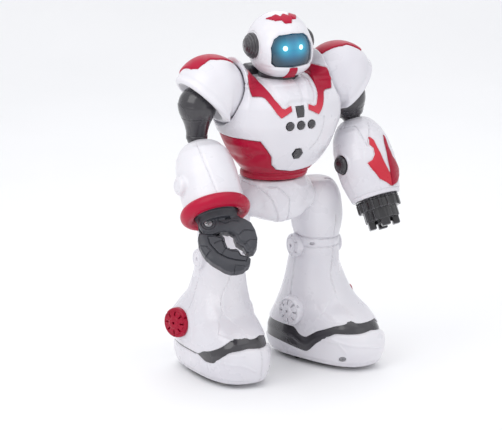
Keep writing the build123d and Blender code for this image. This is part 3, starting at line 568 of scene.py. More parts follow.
def gloss(name, base, deep, light, wear, rough=(0.24, 0.36), coat=0.06, scatter=0.0, spec=0.25,
          fade=None):
    """Moulded plastic: colour drift, speckle, uneven polish, orange peel and rubbed edges.

    `fade` is (low z, high z, colour), in metres: the colour takes over towards low z."""
    m = Shader(name)
    drift = m.noise(scale=14, detail=2.0, rough=0.5)
    speckle = m.noise(scale=900, detail=2.0, rough=0.6)
    color = m.mix(m.remap(drift, 0.35, 0.65), srgb(deep), srgb(light))
    color = m.mix(m.remap(speckle, 0.3, 0.7, to_high=0.25), color, srgb(base))
    if fade is not None:
        amount = m.remap(m.split()[2], fade[0], fade[1], to_low=1.0, to_high=0.0)
        color = m.mix(m.math("MULTIPLY", amount, 0.95), color, srgb(fade[2]))
    color = m.rub(color, srgb(wear), edges=(0.53, 0.62), scale=160, detail=4.0,
                  patches=(0.42, 0.6), amount=0.55)
    polish = m.remap(m.noise(scale=45), 0.3, 0.7, *rough)
    smear = m.remap(m.noise(scale=7, detail=2.0), 0.45, 0.7, to_high=0.06)
    polish = m.math("ADD", polish, smear)
    peel = m.bump(m.noise(scale=260, detail=2.0), strength=0.05, distance=0.0002)
    peel = m.bump(m.noise(scale=1800, detail=1.0), strength=0.03, distance=0.00008, normal=peel)
    return m.finish(color, polish, peel, coat=coat, scatter=scatter, spec=spec)


def dark(name, base, light, rough=(0.30, 0.45), coat=0.15, grain=0.10):
    """Dark plastic with fine grain and greyed edges."""
    m = Shader(name)
    color = m.mix(m.remap(m.noise(scale=22), 0.35, 0.65), srgb(base), srgb(light))
    color = m.rub(color, srgb("#8e8b93"), edges=(0.52, 0.60), scale=220, detail=5.0,
                  patches=(0.4, 0.58), amount=0.6)
    polish = m.remap(m.noise(scale=60, detail=4.0), 0.3, 0.7, *rough)
    relief = m.bump(m.noise(scale=700, detail=2.0), strength=grain, distance=0.00015)
    relief = m.bump(m.noise(scale=90), strength=grain * 0.5, distance=0.0003, normal=relief)
    return m.finish(color, polish, relief, coat=coat)


def visor_material():
    """Smoked window with a blue glow round the eyes."""
    m = Shader("visor_smoked")
    x, _, z = m.split()

    def blob(centre_x, centre_z, width):
        dx = m.math("SUBTRACT", x, centre_x)
        dz = m.math("SUBTRACT", z, centre_z)
        square = m.math("ADD", m.math("MULTIPLY", dx, dx), m.math("MULTIPLY", dz, dz))
        return m.math("EXPONENT", m.math("MULTIPLY", square, -1.0 / (width * width)))

    halo = m.math("ADD", *(blob(sign * EYE_X * 0.001, EYE_Z * 0.001, width=0.0068)
                           for sign in (-1, 1)))
    wide = m.math("ADD", blob(-0.006, 0.335, width=0.0115), blob(0.007, 0.336, width=0.0115))
    glow = m.mix(m.math("MULTIPLY", wide, 0.85, clamp=True), (0, 0, 0, 1), srgb("#0a7cae"))
    glow = m.mix(m.math("MULTIPLY", halo, 0.9, clamp=True), glow, srgb("#35c4e6"))
    color = m.mix(m.remap(m.noise(scale=60), 0.3, 0.7), srgb("#04141c"), srgb("#062030"))
    return m.finish(color, m.remap(m.noise(scale=50), 0.3, 0.7, 0.06, 0.12),
                    m.bump(m.noise(scale=200), strength=0.02, distance=0.0001),
                    coat=0.8, coat_rough=0.03, glow=glow, glow_strength=0.85)


def eye_material():
    m = Shader("eye_glow")
    mottle = m.noise(scale=300, detail=2.0)
    weight = m.node("LayerWeight")
    weight.inputs[0].default_value = 0.4
    glow = m.mix(weight.outputs["Facing"], srgb("#d6f6ff"), srgb("#4cc4e6"))
    glow = m.mix(m.remap(mottle, 0.3, 0.7, to_high=0.2), glow, srgb("#c7f2fb"))
    return m.finish(srgb("#9fdcea"), m.remap(mottle, 0.3, 0.7, 0.1, 0.2), coat=0.5,
                    glow=glow, glow_strength=1.25)


def steel_material():
    m = Shader("zinc_steel")
    grain = m.noise(scale=500)
    color = m.mix(m.remap(grain, 0.3, 0.7), srgb("#8d8d90"), srgb("#a9a9ad"))
    return m.finish(color, m.remap(m.noise(scale=180), 0.3, 0.7, 0.28, 0.5),
                    m.bump(grain, strength=0.15, distance=0.0001), metal=0.9)


def rubber_material():
    m = Shader("rubber")
    grain = m.noise(scale=900, detail=4.0)
    color = m.mix(m.remap(m.noise(scale=40), 0.3, 0.7), srgb("#1d1d1f"), srgb("#2c2c2f"))
    return m.finish(color, m.remap(grain, 0.3, 0.7, 0.65, 0.85),
                    m.bump(grain, strength=0.3, distance=0.0002))


def plain(name, first, second, rough=(0.4, 0.6), scale=120):
    m = Shader(name)
    color = m.mix(m.remap(m.noise(scale), 0.35, 0.65), srgb(first), srgb(second))
    return m.finish(color, m.remap(m.noise(scale * 2), 0.3, 0.7, *rough),
                    m.bump(m.noise(scale * 4), strength=0.1, distance=0.0001))


WHITE = gloss("white_plastic", "#e0dee4", "#d8d6dd", "#e5e3e8", wear="#f8f8f8",
              rough=(0.22, 0.34), coat=0.30, scatter=0.06, spec=0.5)
RED = gloss("red_plastic", "#ac0631", "#9e042b", "#b50836", wear="#c23a4e")
STRIPE_RED = gloss("stripe_red", "#ac0631", "#a0042c", "#b50836", wear="#d2606c",
                   fade=(0.268, 0.291, "#dc4a57"))
CORAL = gloss("coral_red", "#cf3343", "#c32a3b", "#d74350", wear="#e88088", coat=0.08)
DARK = dark("dark_plastic", "#2f2d32", "#39373d")
DARK_GLOSS = dark("dark_gloss", "#2e2c31", "#38363b", rough=(0.17, 0.28), coat=0.5, grain=0.04)
BARREL = dark("barrel_gloss", "#1c1b1e", "#252428", rough=(0.16, 0.27), coat=0.5, grain=0.04)
CLAW = dark("claw_plastic", "#303138", "#3b3c43", rough=(0.34, 0.5), coat=0.08, grain=0.16)
VISOR = visor_material()
EYE = eye_material()
STEEL = steel_material()
RUBBER = rubber_material()
GEAR = plain("gear_acetal", "#cfcdc4", "#dddbd2")
BOARD = plain("board_green", "#1b5a34", "#247041", rough=(0.3, 0.5), scale=300)
WRAP = plain("battery_wrap", "#2d4f8f", "#3860a8", rough=(0.3, 0.45), scale=60)
SPEAKER = plain("speaker_frame", "#2b2b2e", "#38383c")

SLOTS = {WHITE: "white_shell", VISOR: "visor_gloss", EYE: "eye_glow", STEEL: "steel",
         **dict.fromkeys((RED, STRIPE_RED, CORAL), "red_shell"),
         **dict.fromkeys((DARK, DARK_GLOSS, BARREL, CLAW), "dark_plastic")}

# ---------------------------------------------------------------- torso
# z, half x, half y, centre y
TORSO_ROWS = [
    (200, 31, 30, -3), (208, 36, 35, -5), (220, 46, 41, -7), (233, 54, 46, -8),
    (247, 60, 50, -8), (262, 65, 53, -8), (277, 66, 52, -7), (290, 61, 45, -5),
    (298, 50, 36, -2), (302, 38, 28, 0)]
torso = Stack([(z, a, b, 0, y) for z, a, b, y in TORSO_ROWS], exponent=2.3, back_exponent=2.05)
# Outlines and lines as (x, z)
CHEST = [                               # lower edge of the white chest, closed far above it
    (-90, 247.5), (-52, 247.5), (-38, 246), (-31, 236.5), (-25.5, 229), (-23, 219.5),
    (-17, 213.8), (0, 210.5), (20, 212), (32, 214.5), (43, 220), (50, 229), (56, 238),
    (62, 247), (90, 247.5), (90, 340), (-90, 340)]
STRIPE = [
    (33, 312), (28.3, 300), (24.2, 288), (19, 279.6), (16.5, 278.6), (9.6, 281.5),
    (8.9, 275.8), (21, 269.4), (25.5, 274.5), (33, 288.6), (36, 290), (44.6, 290.6),
    (46, 300), (44.5, 310)]
SCARF = [(-26, 316), (-24, 300), (-21.5, 288), (-16, 280), (-8, 283), (8, 283), (16, 280),
         (21.5, 288), (24, 300), (26, 316)]
SENSOR = [(-4.8, 279.6), (4.8, 279.6), (3.6, 269.2), (-3.6, 269.2)]
HEXAGON = [(HEX_RADIUS * math.cos(math.radians(angle)),
            HEX_Z + HEX_RADIUS * math.sin(math.radians(angle))) for angle in range(0, 360, 60)]
SCARF_FOLD = [(9.0, 312), (7.5, 300), (6.2, 287), (3, 279)]
SCARF_SIDE = [(15.0, 306), (13.8, 296), (10.5, 287)]
CHEST_LINE = smooth_line([(27.4, 267), (26.6, 258), (24.5, 249), (19.5, 240.5), (12, 233.5)])
FLANK_RIDGE = smooth_line([(-58, 239), (-48, 240.5), (-40, 238), (-33, 234.5)])
FLANK_HOLLOW = smooth_line([(-57, 229), (-50, 224), (-42, 225), (-36, 231)])


def chest_skin(x, y, z):
    """Chest with shoulder rims and a folded scarf-like collar, before the sockets are cut."""
    form = torso(x, y, z, 4.0)
    wide = np.abs(x)
    rim = soft_max(sphere(wide, y, z, SHOULDER, 41.2), wide - 45.6, 1.2)
    form = soft_min(form, rim, 13.0)
    front = np.clip(-y / 12.0, 0, 1)
    form = form - 1.9 * ease(-polygon(x, z, SCARF) / 4.5) * front
    form = swell(form, front, (polyline(x, z, SCARF_FOLD), 2.1, -1.15),
                 (polyline(x, z, SCARF_SIDE), 3.2, 0.9))
    form = form - 0.5 * np.exp(-((x + 11)**2 / 60 + (z - 293)**2 / 90)) * front
    # moat that lets the head turn
    return sink(form, radius(x, y, 0.0, NECK_Y) - 32.8, 303.0 - z, 1.4)


def socket(x, y, z, size):
    return sphere(np.abs(x), y, z, SHOULDER, size)


def chest(x, y, z):
    form = soft_max(chest_skin(x, y, z), polygon(x, z, CHEST), 2.2)
    form = soft_max(form, -socket(x, y, z, 36.2), 1.6)
    wide = np.abs(x)
    front = y < 0
    form = engrave(form, front, (polyline(x, z, CHEST_LINE), 1.25, 0.75))
    form = engrave(form, True, (y - 8.15, 0.7, 0.6))        # seam of the front and back halves
    # beds for stripes, buttons and window
    form = engrave(form, front, (polygon(wide, z, STRIPE), 0.9, 0.5))
    for button_x in BUTTONS.values():
        away = radius(x, z, button_x, BUTTON_Z)
        form = recess(form, away - (BUTTON_RADIUS + 0.6), 4.8, 0.5, front)
    form = recess(form, polygon(x, z, HEXAGON) - 0.45, 4.8, 0.5, front)
    form = recess(form, polygon(x, z, SENSOR) - 0.35, 2.4, 0.5, front)
    # battery door bed
    back = y > 8
    bed = rectangle(x, z - DOOR_Z, DOOR_HALF[0] + 0.4, DOOR_HALF[1] + 0.4)
    form = recess(form, bed, 2.6, 0.4, back)
    # speaker holes: one in the middle and two rings
    away, angle = radius(x, z, 0.0, 281.0), np.arctan2(z - 281.0, x)
    form = recess(form, away - 1.4, 2.6, 0.4, back)
    for ring, count in ((5.2, 6), (10.0, 12)):
        hole = radius(*spoke(away, angle, count), ring)
        form = recess(form, hole - 1.4, 2.6, 0.4, back)
    form = engrave(form, back, (away - 13.6, 1.2, 0.6))
    for rib_z in (262.0, 254.0):        # two ribs on each side of the back
        rib = np.maximum(np.abs(z - rib_z) - 1.1, np.maximum(wide - 46.0, 31.0 - wide))
        form = form - 0.9 * ease(-rib / 1.2 + 0.3) * back
    # switch slot
    return recess(form, rectangle(x, z - 229.0, 5.2, 2.7), 6.5, 0.4, back)


def waist(x, y, z):
    form = torso(x, y, z, 1.6) + 1.3
    side = -np.abs(x)
    front = np.clip(-y / 10.0, 0, 1)
    # raised flank above a scooped hollow, and a swelling round the bottom
    form = swell(form, front, (polyline(side, z, FLANK_RIDGE), 3.2, 1.0),
                 (polyline(side, z, FLANK_HOLLOW), 4.2, -2.2), (z - 216.5, 3.0, 0.8))
    # groove over the bottom rim
    form = engrave(form, True, (z - 207.3, 3.6, 1.4))
    rim = np.sqrt(x * x * (30 / 33.0)**2 + (y + 3.0)**2) - 31.2
    rim = soft_max(rim, np.abs(z - 203.2) - 3.2, 2.6)
    form = soft_min(form, rim, 1.0)
    form = soft_max(form, 0.25 - polygon(x, z, CHEST), 0.6)
    return soft_max(form, 200.15 - z, 1.0)


def chest_stripes(x, y, z):
    outline = polygon(np.abs(x), z, STRIPE)
    form = plate(chest_skin(x, y, z), outline, rise=1.0, gap=0.25, blend=1.1, depth=1.2)
    return soft_max(np.maximum(form, y + 4.0), -socket(x, y, z, 36.5), 0.8)


def sensor(x, y, z):
    outline = polygon(x, z, SENSOR)
    return np.maximum(
        plate(chest_skin(x, y, z), outline, rise=-0.2, gap=0.0, blend=1.0, depth=2.2), y)


def door(x, y, z):
    skin = torso(x, y, z, 4.0)
    form = soft_max(skin - 0.15, rectangle(x, z - DOOR_Z, *DOOR_HALF), 0.9)
    for rib_z in (258.0, 261.0, 264.0):
        away = radius(np.maximum(np.abs(x) - 11.0, 0), z, 0.0, rib_z)
        form = form - 0.9 * np.clip(1 - (away / 0.9)**2, 0, 1)
    hole = radius(x, z, 0.0, 241.0)
    form = recess(form, hole - 3.5, 1.8, 0.4, skin=skin)
    form = engrave(form, True, (hole - 5.0, 0.8, 0.4))
    return np.maximum(form, np.maximum(-(skin + 2.4), 20.0 - y))


def button(centre_x):
    def field(x, y, z):
        skin = chest_skin(x, y, z)
        away = radius(x, z, centre_x, BUTTON_Z)
        form = soft_max(away - BUTTON_RADIUS, skin - 1.5 + 0.02 * away * away, 1.3)
        form = engrave(form, True, (away - 2.4, 0.7, 0.22))
        return np.maximum(form, -(skin + 2.6))
    return field


def hex_button(x, y, z):
    skin = chest_skin(x, y, z)
    outline = polygon(x, z, HEXAGON)
    form = soft_max(outline + 0.35, skin - 1.5, 1.0)
    form = form + 0.5 * ease((-outline - 2.2) / 0.9)
    return np.maximum(form, -(skin + 2.6))


def yoke(x, y, z):
    """Block behind the neck joined to a ring round it."""
    block = rounded_box(x, y, z, (0.0, 13.0, 305.6), (23.5, 9.5, 5.4), 4.0)
    away = radius(x, y, 0.0, NECK_Y)
    ring = soft_max(np.abs(away - 17.6) - 2.4, np.abs(z - 302.4) - 4.0, 1.0)
    form = soft_min(block, ring, 2.0)
    form = soft_max(form, -sphere(x, y, z, (0.0, NECK_Y, EAR_Z), 33.4), 1.0)
    form = engrave(form, y > 18, (z - 304.8, 0.9, 0.5), (z - 307.6, 0.9, 0.5))
    return np.maximum(form, 299.0 - z)


make("chest_cover", chest, (-70, -66, 208), (70, 50, 332), "torso", WHITE,
     ("chest_front", "chest_back"), cell=VOXEL * 1.06)
make("waist_cover", waist, (-62, -62, 198), (62, 48, 250), "torso", RED, ("waist_shell",))
make("chest_stripe_inlays", chest_stripes, (-52, -66, 264), (52, 0, 332), "torso", STRIPE_RED,
     ("chest_stripes",), cell=VOXEL * 0.8, keep=2)
make("sensor_lens", sensor, (-7, -66, 266), (7, -50, 283), "torso", DARK_GLOSS,
     ("sensor_window",), cell=0.45)
make("battery_lid", door, (-26, 18, 233), (26, 50, 273), "torso", WHITE, ("battery_door",),
     cell=VOXEL * 0.8)
for where, button_x in BUTTONS.items():
    make(where + "_button_cap", button(button_x), (button_x - 6, -68, 254),
         (button_x + 6, -50, 268), where + "_button", DARK_GLOSS, (where + "_chest_button",),
         cell=0.42)
make("hex_button_cap", hex_button, (-8, -64, 223), (8, -42, 239), "hex_button", DARK_GLOSS,
     ("hex_button",), cell=0.42)
make("neck_yoke", yoke, (-26, -35, 297), (26, 26, 313), "torso", DARK, ("neck_collar",),
     cell=VOXEL * 0.85)

# ---------------------------------------------------------------- head
VISOR_OUTLINE = [                       # x, z
    (-22.3, 337), (-22, 321.5), (-18.5, 318), (0, 316.2), (18.5, 318), (22, 321.5),
    (22.3, 337), (18.5, 345), (13.5, 348.6), (0, 350), (-13.5, 348.6), (-18.5, 345)]
CREST = [                               # x, y on top of the helmet
    (-17.5, -17), (-12, -20.5), (-7, -20), (-4.5, -25.5), (0, -21.5), (4.5, -25.5), (7, -20),
    (12, -20.5), (17.5, -17), (15, -23), (11.5, -28.5), (6, -30.5), (3.5, -34.5),
    (-3.5, -34.5), (-6, -30.5), (-11.5, -28.5), (-15, -23)]
CHIN = [(-4.4, 316.2), (4.4, 316.2), (6.6, 302), (-6.6, 302)]     # x, z
# Height of the seam between helmet and jaw, by y
SEAM_Y = np.linspace(-62, 24, 200)
SEAM_Z = monotone([-62, -47, -40, -20, -6, 6, 22, 24],
                  [299.6, 301.8, 304.6, 311.6, 312.6, 310.2, 305.0, 304.6], SEAM_Y)


def head_core(x, y, z, narrowing=0.0):
    ball = ellipsoid(x, y, z, (0.0, NECK_Y, 335.6), (31.9, 32.6, 31.8))
    jaw = rounded_box(x, y, z, (0.0, -21.0, 323.5), (25.5, 22.2, 19.8), 14.5)
    return soft_min(ball, jaw + narrowing, 9.0)


def head_skin(x, y, z):
    wide = np.abs(x)
    taper = np.clip((318 - z) / 14, 0, 1) * np.clip((wide - 6) / 20, 0, 1)
    form = head_core(x, y, z, 4.0 * taper)
    outline = polygon(x, z, VISOR_OUTLINE)
    front = np.clip((-y - 22) / 8.0, 0, 1)
    form = swell(form, front, (outline - 2.6, 3.6, 1.3), (outline - 9.5, 1.6, -0.5))
    # cheek step down to the jaw
    cheek = z - (314.8 + 0.12 * wide)
    form = form + 0.7 * bell(cheek, 1.5) * front * np.clip((wide - 8) / 4, 0, 1)
    # flat seats for the ear discs
    form = soft_max(form, np.maximum(wide - 29.6, -9), 4.0)
    return soft_max(form, 303.7 - z, 2.5)


def seam_height(y):
    return np.interp(y, SEAM_Y, SEAM_Z).astype(F32)


def visor_skin(x, y, z):
    """A round bowl that comes out to just under the helmet skin at its corners."""
    bowl = sphere(x * 0.985, y, (z - 334.0) * 0.97, (0.0, -11.0, 0.0), 32.9)
    return soft_min(bowl, head_core(x, y, z) + 1.5, 2.0)


def helmet(x, y, z):
    skin = head_skin(x, y, z)
    form = soft_max(skin, seam_height(y) - z + 0.12, 0.8)
    window = polygon(x, z, VISOR_OUTLINE) - 0.15
    form = recess(form, window, 7.0, 1.1, y < -20, skin)
    # back shell seam; the whole-number mask makes the field double precision from here on
    form = engrave(form, (z < 366).astype(int), (y - 2.0 + 0.25 * (z - 335), 0.7, 0.55))
    for vent_z in (326.0, 330.5, 335.0):
        form = recess(form, rectangle(z - vent_z, x, 0.9, 9.0), 1.8, 0.5, y > 5, skin)
    form = engrave(form, z > 345, (polygon(x, y, CREST), 0.8, 0.45))
    return engrave(form, True, (radius(y, z, NECK_Y, EAR_Z) - 14.0, 1.0, 0.6))


def jaw_skirt(x, y, z):
    form = soft_max(head_skin(x, y, z) + 0.55, z - seam_height(y) + 0.18, 0.7)
    away = radius(x, y, 0.0, NECK_Y)
    form = engrave(form, True, (away - 21.0, 1.0, 0.5))
    return sink(form, away - 9.0, z - 308.0, 0.8)


def visor(x, y, z):
    outline = polygon(x, z, VISOR_OUTLINE)
    form = plate(visor_skin(x, y, z), outline, rise=0.0, gap=0.2, blend=1.6, depth=3.0)
    return np.maximum(form, y + 20.0)


def eyes(x, y, z):
    skin = visor_skin(x, y, z)
    away = radius(np.abs(x), z, EYE_X, EYE_Z)
    form = soft_max(skin - 0.5 + 0.06 * away * away, away - 2.7, 0.6)
    return np.maximum(form, np.maximum(-(skin + 1.2), y + 20.0))


def head_inlays(x, y, z):
    skin = head_skin(x, y, z)
    crest = plate(skin, polygon(x, y, CREST), rise=0.8, gap=0.2, blend=0.9, depth=1.3)
    chin = plate(skin, polygon(x, z, CHIN), rise=0.8, gap=0.15, blend=0.9, depth=1.3)
    return np.minimum(np.maximum(crest, 345.0 - z),
                      np.maximum(chin, np.maximum(y + 26.0, 304.4 - z)))


def ears(x, y, z):
    """Three stepped discs with a domed middle on each side."""
    wide = np.abs(x)
    away = radius(y, z, NECK_Y, EAR_Z)

    def disc(size, face, blend):
        return soft_max(away - size, np.maximum(wide - face, 25.0 - wide), blend)

    form = np.minimum(disc(13.0, 31.8, 1.6), disc(11.2, 33.9, 1.2))
    form = soft_min(form, disc(9.2, 35.9, 1.6), 0.5)
    dome = soft_max(radius(wide, away, 21.0) - 16.6, away - 7.6, 1.2)
    form = soft_min(form, np.maximum(dome, 25.0 - wide), 0.6)
    return engrave(form, True, (away - 6.0, 0.8, 0.4), (away, 2.6, 0.6))


make("helmet_cover", helmet, (-35, -49, 298), (35, 23, 370), "head", WHITE, ("helmet_shell",),
     cell=VOXEL * 0.85)
make("jaw_skirt", jaw_skirt, (-30, -49, 298), (30, 22, 316), "head", WHITE, ("face_jaw",),
     cell=VOXEL * 0.85)
make("visor_panel", visor, (-25, -48, 312), (25, -18, 353), "head", VISOR, ("visor",),
     cell=VOXEL * 0.75)
make("eye_lights", eyes, (-14, -47, 330), (14, -36, 342), "head", EYE, ("eye_lenses",),
     cell=0.36, keep=2)
make("head_inlays", head_inlays, (-21, -50, 300), (21, -10, 370), "head", RED, ("head_trim",),
     cell=VOXEL * 0.72, keep=2)
make("ear_discs_cover", ears, (-40, -28, 320), (40, 2, 351), "head", DARK_GLOSS,
     ("ear_discs",), cell=VOXEL * 0.72, keep=2)

# ---------------------------------------------------------------- shoulders and upper arms
# ball: centre in the shoulder; top: start of the forearm, which runs along axis;
# bend: elbow centre's distance behind top on that axis
ARMS = {
    "right": {"sign": -1.0, "ball": (-88.0, -8.0, 281.0), "top": (-88.0, -10.0, 242.0),
              "axis": unit((-0.07, -0.615, -0.785)), "bend": 7.0},
    "left": {"sign": 1.0, "ball": (80.0, -8.0, 273.0), "top": (86.0, -10.0, 248.4),
             "axis": unit((0.09, -0.44, -0.893)), "bend": 6.0}}
PAD_CAP = [                             # outward, y, from the shoulder centre
    (-26, 17), (-25.5, 2), (-22, -7.5), (-16, -9.5), (-8, -11.0), (-1, -11.8), (5, -9.6),
    (12, -12.0), (20, -12.4), (24.5, -5), (26, 17), (18, 21), (-18, 21)]
ORIGIN = (0.0, 0.0, 0.0)
PAD_AXIS = unit((0.724, -0.02, -0.69))  # outward and down, through the pad's open side


def pad_place(side, x, y, z):
    """Coordinates from the shoulder centre, x outward."""
    return x * ARMS[side]["sign"] - SHOULDER[0], y - SHOULDER[1], z - SHOULDER[2]


def pad_skin(x, y, z):
    lobe = soft_max(sphere(x, y, z, (1.0, -5.0, -9.0), 31.0), -6.0 - x, 3.0)
    form = soft_min(sphere(x, y, z, ORIGIN, 35.0), lobe, 5.0)
    ahead, _ = along(x, y, z, ORIGIN, PAD_AXIS)
    return swell(form, True, (ahead - 13.4, 2.0, 0.9), (ahead - 8.7, 2.2, -0.5))


def pad(side):
    def field(x, y, z):
        place = pad_place(side, x, y, z)
        out, deep, up = place
        ahead, away = along(*place, ORIGIN, PAD_AXIS)
        form = soft_max(pad_skin(*place), ahead - 15.5, 2.6)
        # dished underside with a seat for the ball
        form = soft_max(form, 31.0 - radius(away, ahead, 0.0, 30.0), 1.2)
        form = soft_max(form, -sphere(x, y, z, ARMS[side]["ball"], 19.6), 1.0)
        # hub towards the torso
        form = np.minimum(form, np.maximum(radius(deep, up) - 6.0, np.abs(out + 38.0) - 6.0))
        outline = polygon(out, deep, PAD_CAP)
        form = engrave(form, up > 5, (outline, 0.9, 0.5))
        return engrave(form, outline > 0.5, (deep - 15.0, 0.7, 0.4))
    return field


def pad_cap(side):
    def field(x, y, z):
        out, deep, up = pad_place(side, x, y, z)
        form = plate(pad_skin(out, deep, up), polygon(out, deep, PAD_CAP),
                     rise=1.0, gap=0.25, blend=1.0, depth=1.3)
        return np.maximum(form, 4 - up)
    return field


def upper_arm(side):
    arm = ARMS[side]
    ball = np.array(arm["ball"])
    bend = np.array(arm["top"]) - arm["axis"] * arm["bend"]
    down = unit(bend - ball)
    reach = float((bend - ball) @ down)
    stations = [0, 8, 14, 20, 26, reach - 2, reach + 3]
    sizes = [18.4, 17.4, 15.4, 12.9, 11.2, 10.2, 10.0]

    def field(x, y, z):
        ahead, away = along(x, y, z, ball, down)
        size = np.interp(ahead, stations, sizes).astype(F32)
        cone = soft_max((away - size) * 0.93, np.maximum(ahead - reach - 1, -ahead), 1.0)
        form = soft_min(sphere(x, y, z, ball, 19.0), cone, 3.0)
        form = soft_min(form, sphere(x, y, z, bend, 10.3), 2.0)
        form = np.minimum(form, cylinder(x, y, z, bend, arm["axis"], 8.6,
                                         length=arm["bend"] + 9.0, blend=0.5))
        form = engrave(form, True, (ahead - 12.0, 0.9, 0.45))
        # shallow flute down the front; its whole-number mask gives double precision
        flute = np.abs((x - float(ball[0])) * arm["sign"] - 3.0)
        form = form + (0.7 * bell(flute, 1.7) * ease((ahead - 10) / 6)
                       * ease((reach - 1 - ahead) / 4) * (y < ball[1]).astype(int))
        return engrave(form, True, (ahead - reach + 3.0, 0.9, 0.4))
    return field


for side in SIDES:
    arm = ARMS[side]
    middle = SHOULDER[0] * arm["sign"]
    make(side + "_pad", pad(side), (middle - 42, -46, 247), (middle + 42, 36, 331),
         side + "_arm", WHITE, (side + "_shoulder_pad",))
    make(side + "_pad_cap", pad_cap(side), (middle - 32, -30, 300), (middle + 32, 22, 332),
         side + "_arm", RED, (side + "_shoulder_cap",), cell=VOXEL * 0.85)
    ends = (arm["ball"][0], arm["top"][0])
    make(side + "_upper_arm_cover", upper_arm(side), (min(ends) - 23, -36, 232),
         (max(ends) + 23, 14, 303), side + "_arm", DARK_GLOSS, (side + "_upper_arm",),
         cell=VOXEL * 0.9)

# ---------------------------------------------------------------- right forearm
R_TOP, R_AXIS = ARMS["right"]["top"], ARMS["right"]["axis"]
R_ACROSS = unit(np.cross((0.0, -1.0, 0.3), R_AXIS))         # towards +X
R_BACK = unit(np.cross(R_ACROSS, R_AXIS))                   # towards +Y
# distance down the forearm, and radius there
R_PROFILE = ([-1.5, 0, 1.2, 3.5, 6.5, 14, 24, 36, 52, 66, 78],
             [7.0, 8.6, 13.0, 17.2, 20.8, 25.7, 28.4, 29.8, 30.2, 30.0, 29.6])
R_SLOPE = ([0, 3, 8, 16, 28, 60], [0.35, 0.6, 0.8, 0.93, 0.99, 1])
BOSS_AXIS = unit((-1.0, 0.0, 0.09))
BOSS = offset(offset(R_TOP, R_AXIS, 46.0), BOSS_AXIS, 29.0)
WRIST_RING = offset(R_TOP, R_AXIS, 74.5)
# Lines as (arc round the forearm, distance down it); arc 0 faces forward and up
R_FRONT_SEAM = [(-17, 8), (-15.2, 19.4), (-13.2, 35), (-10.7, 51.8), (-8.5, 72)]
R_OUTER_SEAM = [(-64, 10), (-66, 40), (-66, 76)]
R_INNER_SEAM = [(24, 14), (33, 30), (36, 52), (34, 76)]


def tapered(ahead, away, profile, slope):
    """Round body whose radius follows the profile, corrected for its slope."""
    size = np.interp(ahead, *profile).astype(F32)
    return (away - size) * np.interp(ahead, *slope).astype(F32)


def right_forearm(x, y, z):
    ahead, away = along(x, y, z, R_TOP, R_AXIS)
    form = tapered(ahead, away, R_PROFILE, R_SLOPE)
    form = soft_max(form, np.maximum(ahead - 72.5, 0.4 - ahead), 1.2)
    across, back = local(x, y, z, R_TOP, R_ACROSS, R_BACK)
    arc = np.arctan2(across, -back) * 29.0
    form = engrave(form, True, (polyline(arc, ahead, R_FRONT_SEAM), 1.1, 0.7),
                   (polyline(arc, ahead, R_OUTER_SEAM), 1.0, 0.6))
    # raised front plate
    form = form - (0.7 * ease((arc + 16.5 - ahead * 0.12) / 2.5) * ease((40 - arc) / 6)
                   * ease((ahead - 9) / 8))
    form = engrave(form, True, (polyline(arc, ahead, R_INNER_SEAM), 0.9, 0.5))
    # round boss on the outer side
    out, off = along(x, y, z, BOSS, BOSS_AXIS)
    boss = soft_max(soft_max(off - 9.6, out - 6.6, 5.0), -out - 12.0, 1.0)
    form = soft_min(form, boss, 3.0)
    form = engrave(form, out > 0, (off - 5.0, 0.9, 0.4))
    # hollow wrist
    return sink(form, away - 26.6, 62.0 - ahead, 0.8)


def wrist_ring(x, y, z):
    ahead, away = along(x, y, z, WRIST_RING, R_AXIS)
    return soft_max(radius(away, ahead * 0.98, 28.0) - 7.1, -(away - 20.6), 1.0)


make("right_forearm_cover", right_forearm, (-131, -82, 174), (-56, 14, 256), "right_forearm",
     WHITE, ("right_forearm_shell",))
make("wrist_ring_cover", wrist_ring, (-133, -92, 150), (-54, -18, 218), "right_forearm", RED,
     ("wrist_ring",), cell=VOXEL * 0.9)

# ---------------------------------------------------------------- claw
# The claw is flat: outlines are (side, ahead) from the wrist, and lift is across its thickness.
WRIST = offset(R_TOP, R_AXIS, 82.0)
CLAW_LIFT = np.array((-0.342, -0.742, 0.583))
CLAW_LIFT = unit(CLAW_LIFT - (CLAW_LIFT @ R_AXIS) * R_AXIS)
CLAW_SIDE = unit(np.cross(CLAW_LIFT, R_AXIS))
PIVOT = (-10.3, 6.2)
PALM = [
    (-19.3, -6), (-19, 0), (-19.8, 8), (-16.5, 16.5), (-9, 18.2), (-2, 17.4), (3, 17.0),
    (7, 19.2), (10.6, 23.0), (11.6, 31.5), (14.5, 34.5), (17.2, 37.0), (19.0, 43.0),
    (22, 44.6), (26.4, 44.2), (29, 41.5), (31.2, 38.5), (33.4, 31), (33.2, 22), (31.0, 13.5),
    (26.0, 8.5), (22.0, 6), (19.4, 3), (19.4, -6)]
PALM_STEP = [(9, 19), (14, 24.5), (15, 31), (21, 35), (23, 41)]
PALM_LINES = [                          # points, width, depth
    ([(16.5, 24), (22.5, 20.5), (31, 23)], 1.3, 0.9),
    ([(20, 34.5), (26, 31.5), (33.5, 33.5)], 1.2, 0.8),
    ([(-1, 5), (6, 9.5), (13, 8), (19, 10)], 1.3, 0.9)]
PALM_SLOT = [(7.0, 3.0), (12.5, 3.8), (12.0, 6.6), (6.6, 5.8)]
FINGER = [
    (-21.4, 13.8), (-23.4, 18), (-24.2, 26), (-22.8, 33), (-20.4, 40), (-16.0, 46.2),
    (-10.4, 52), (-5, 57.2), (0.4, 60.2), (6, 61.2), (12, 60.8), (15.6, 59.2), (18.4, 57.6),
    (20.8, 54.4), (22.2, 50.6), (20.8, 48), (18, 46.4), (14.2, 44.2), (13, 40.4),
    (10.8, 37.0), (7.8, 36.8), (5.0, 36.0), (2.4, 32.6), (1.8, 28), (2.2, 23.2), (0.6, 20.9),
    (-3.8, 20.8), (-8, 18.4)]
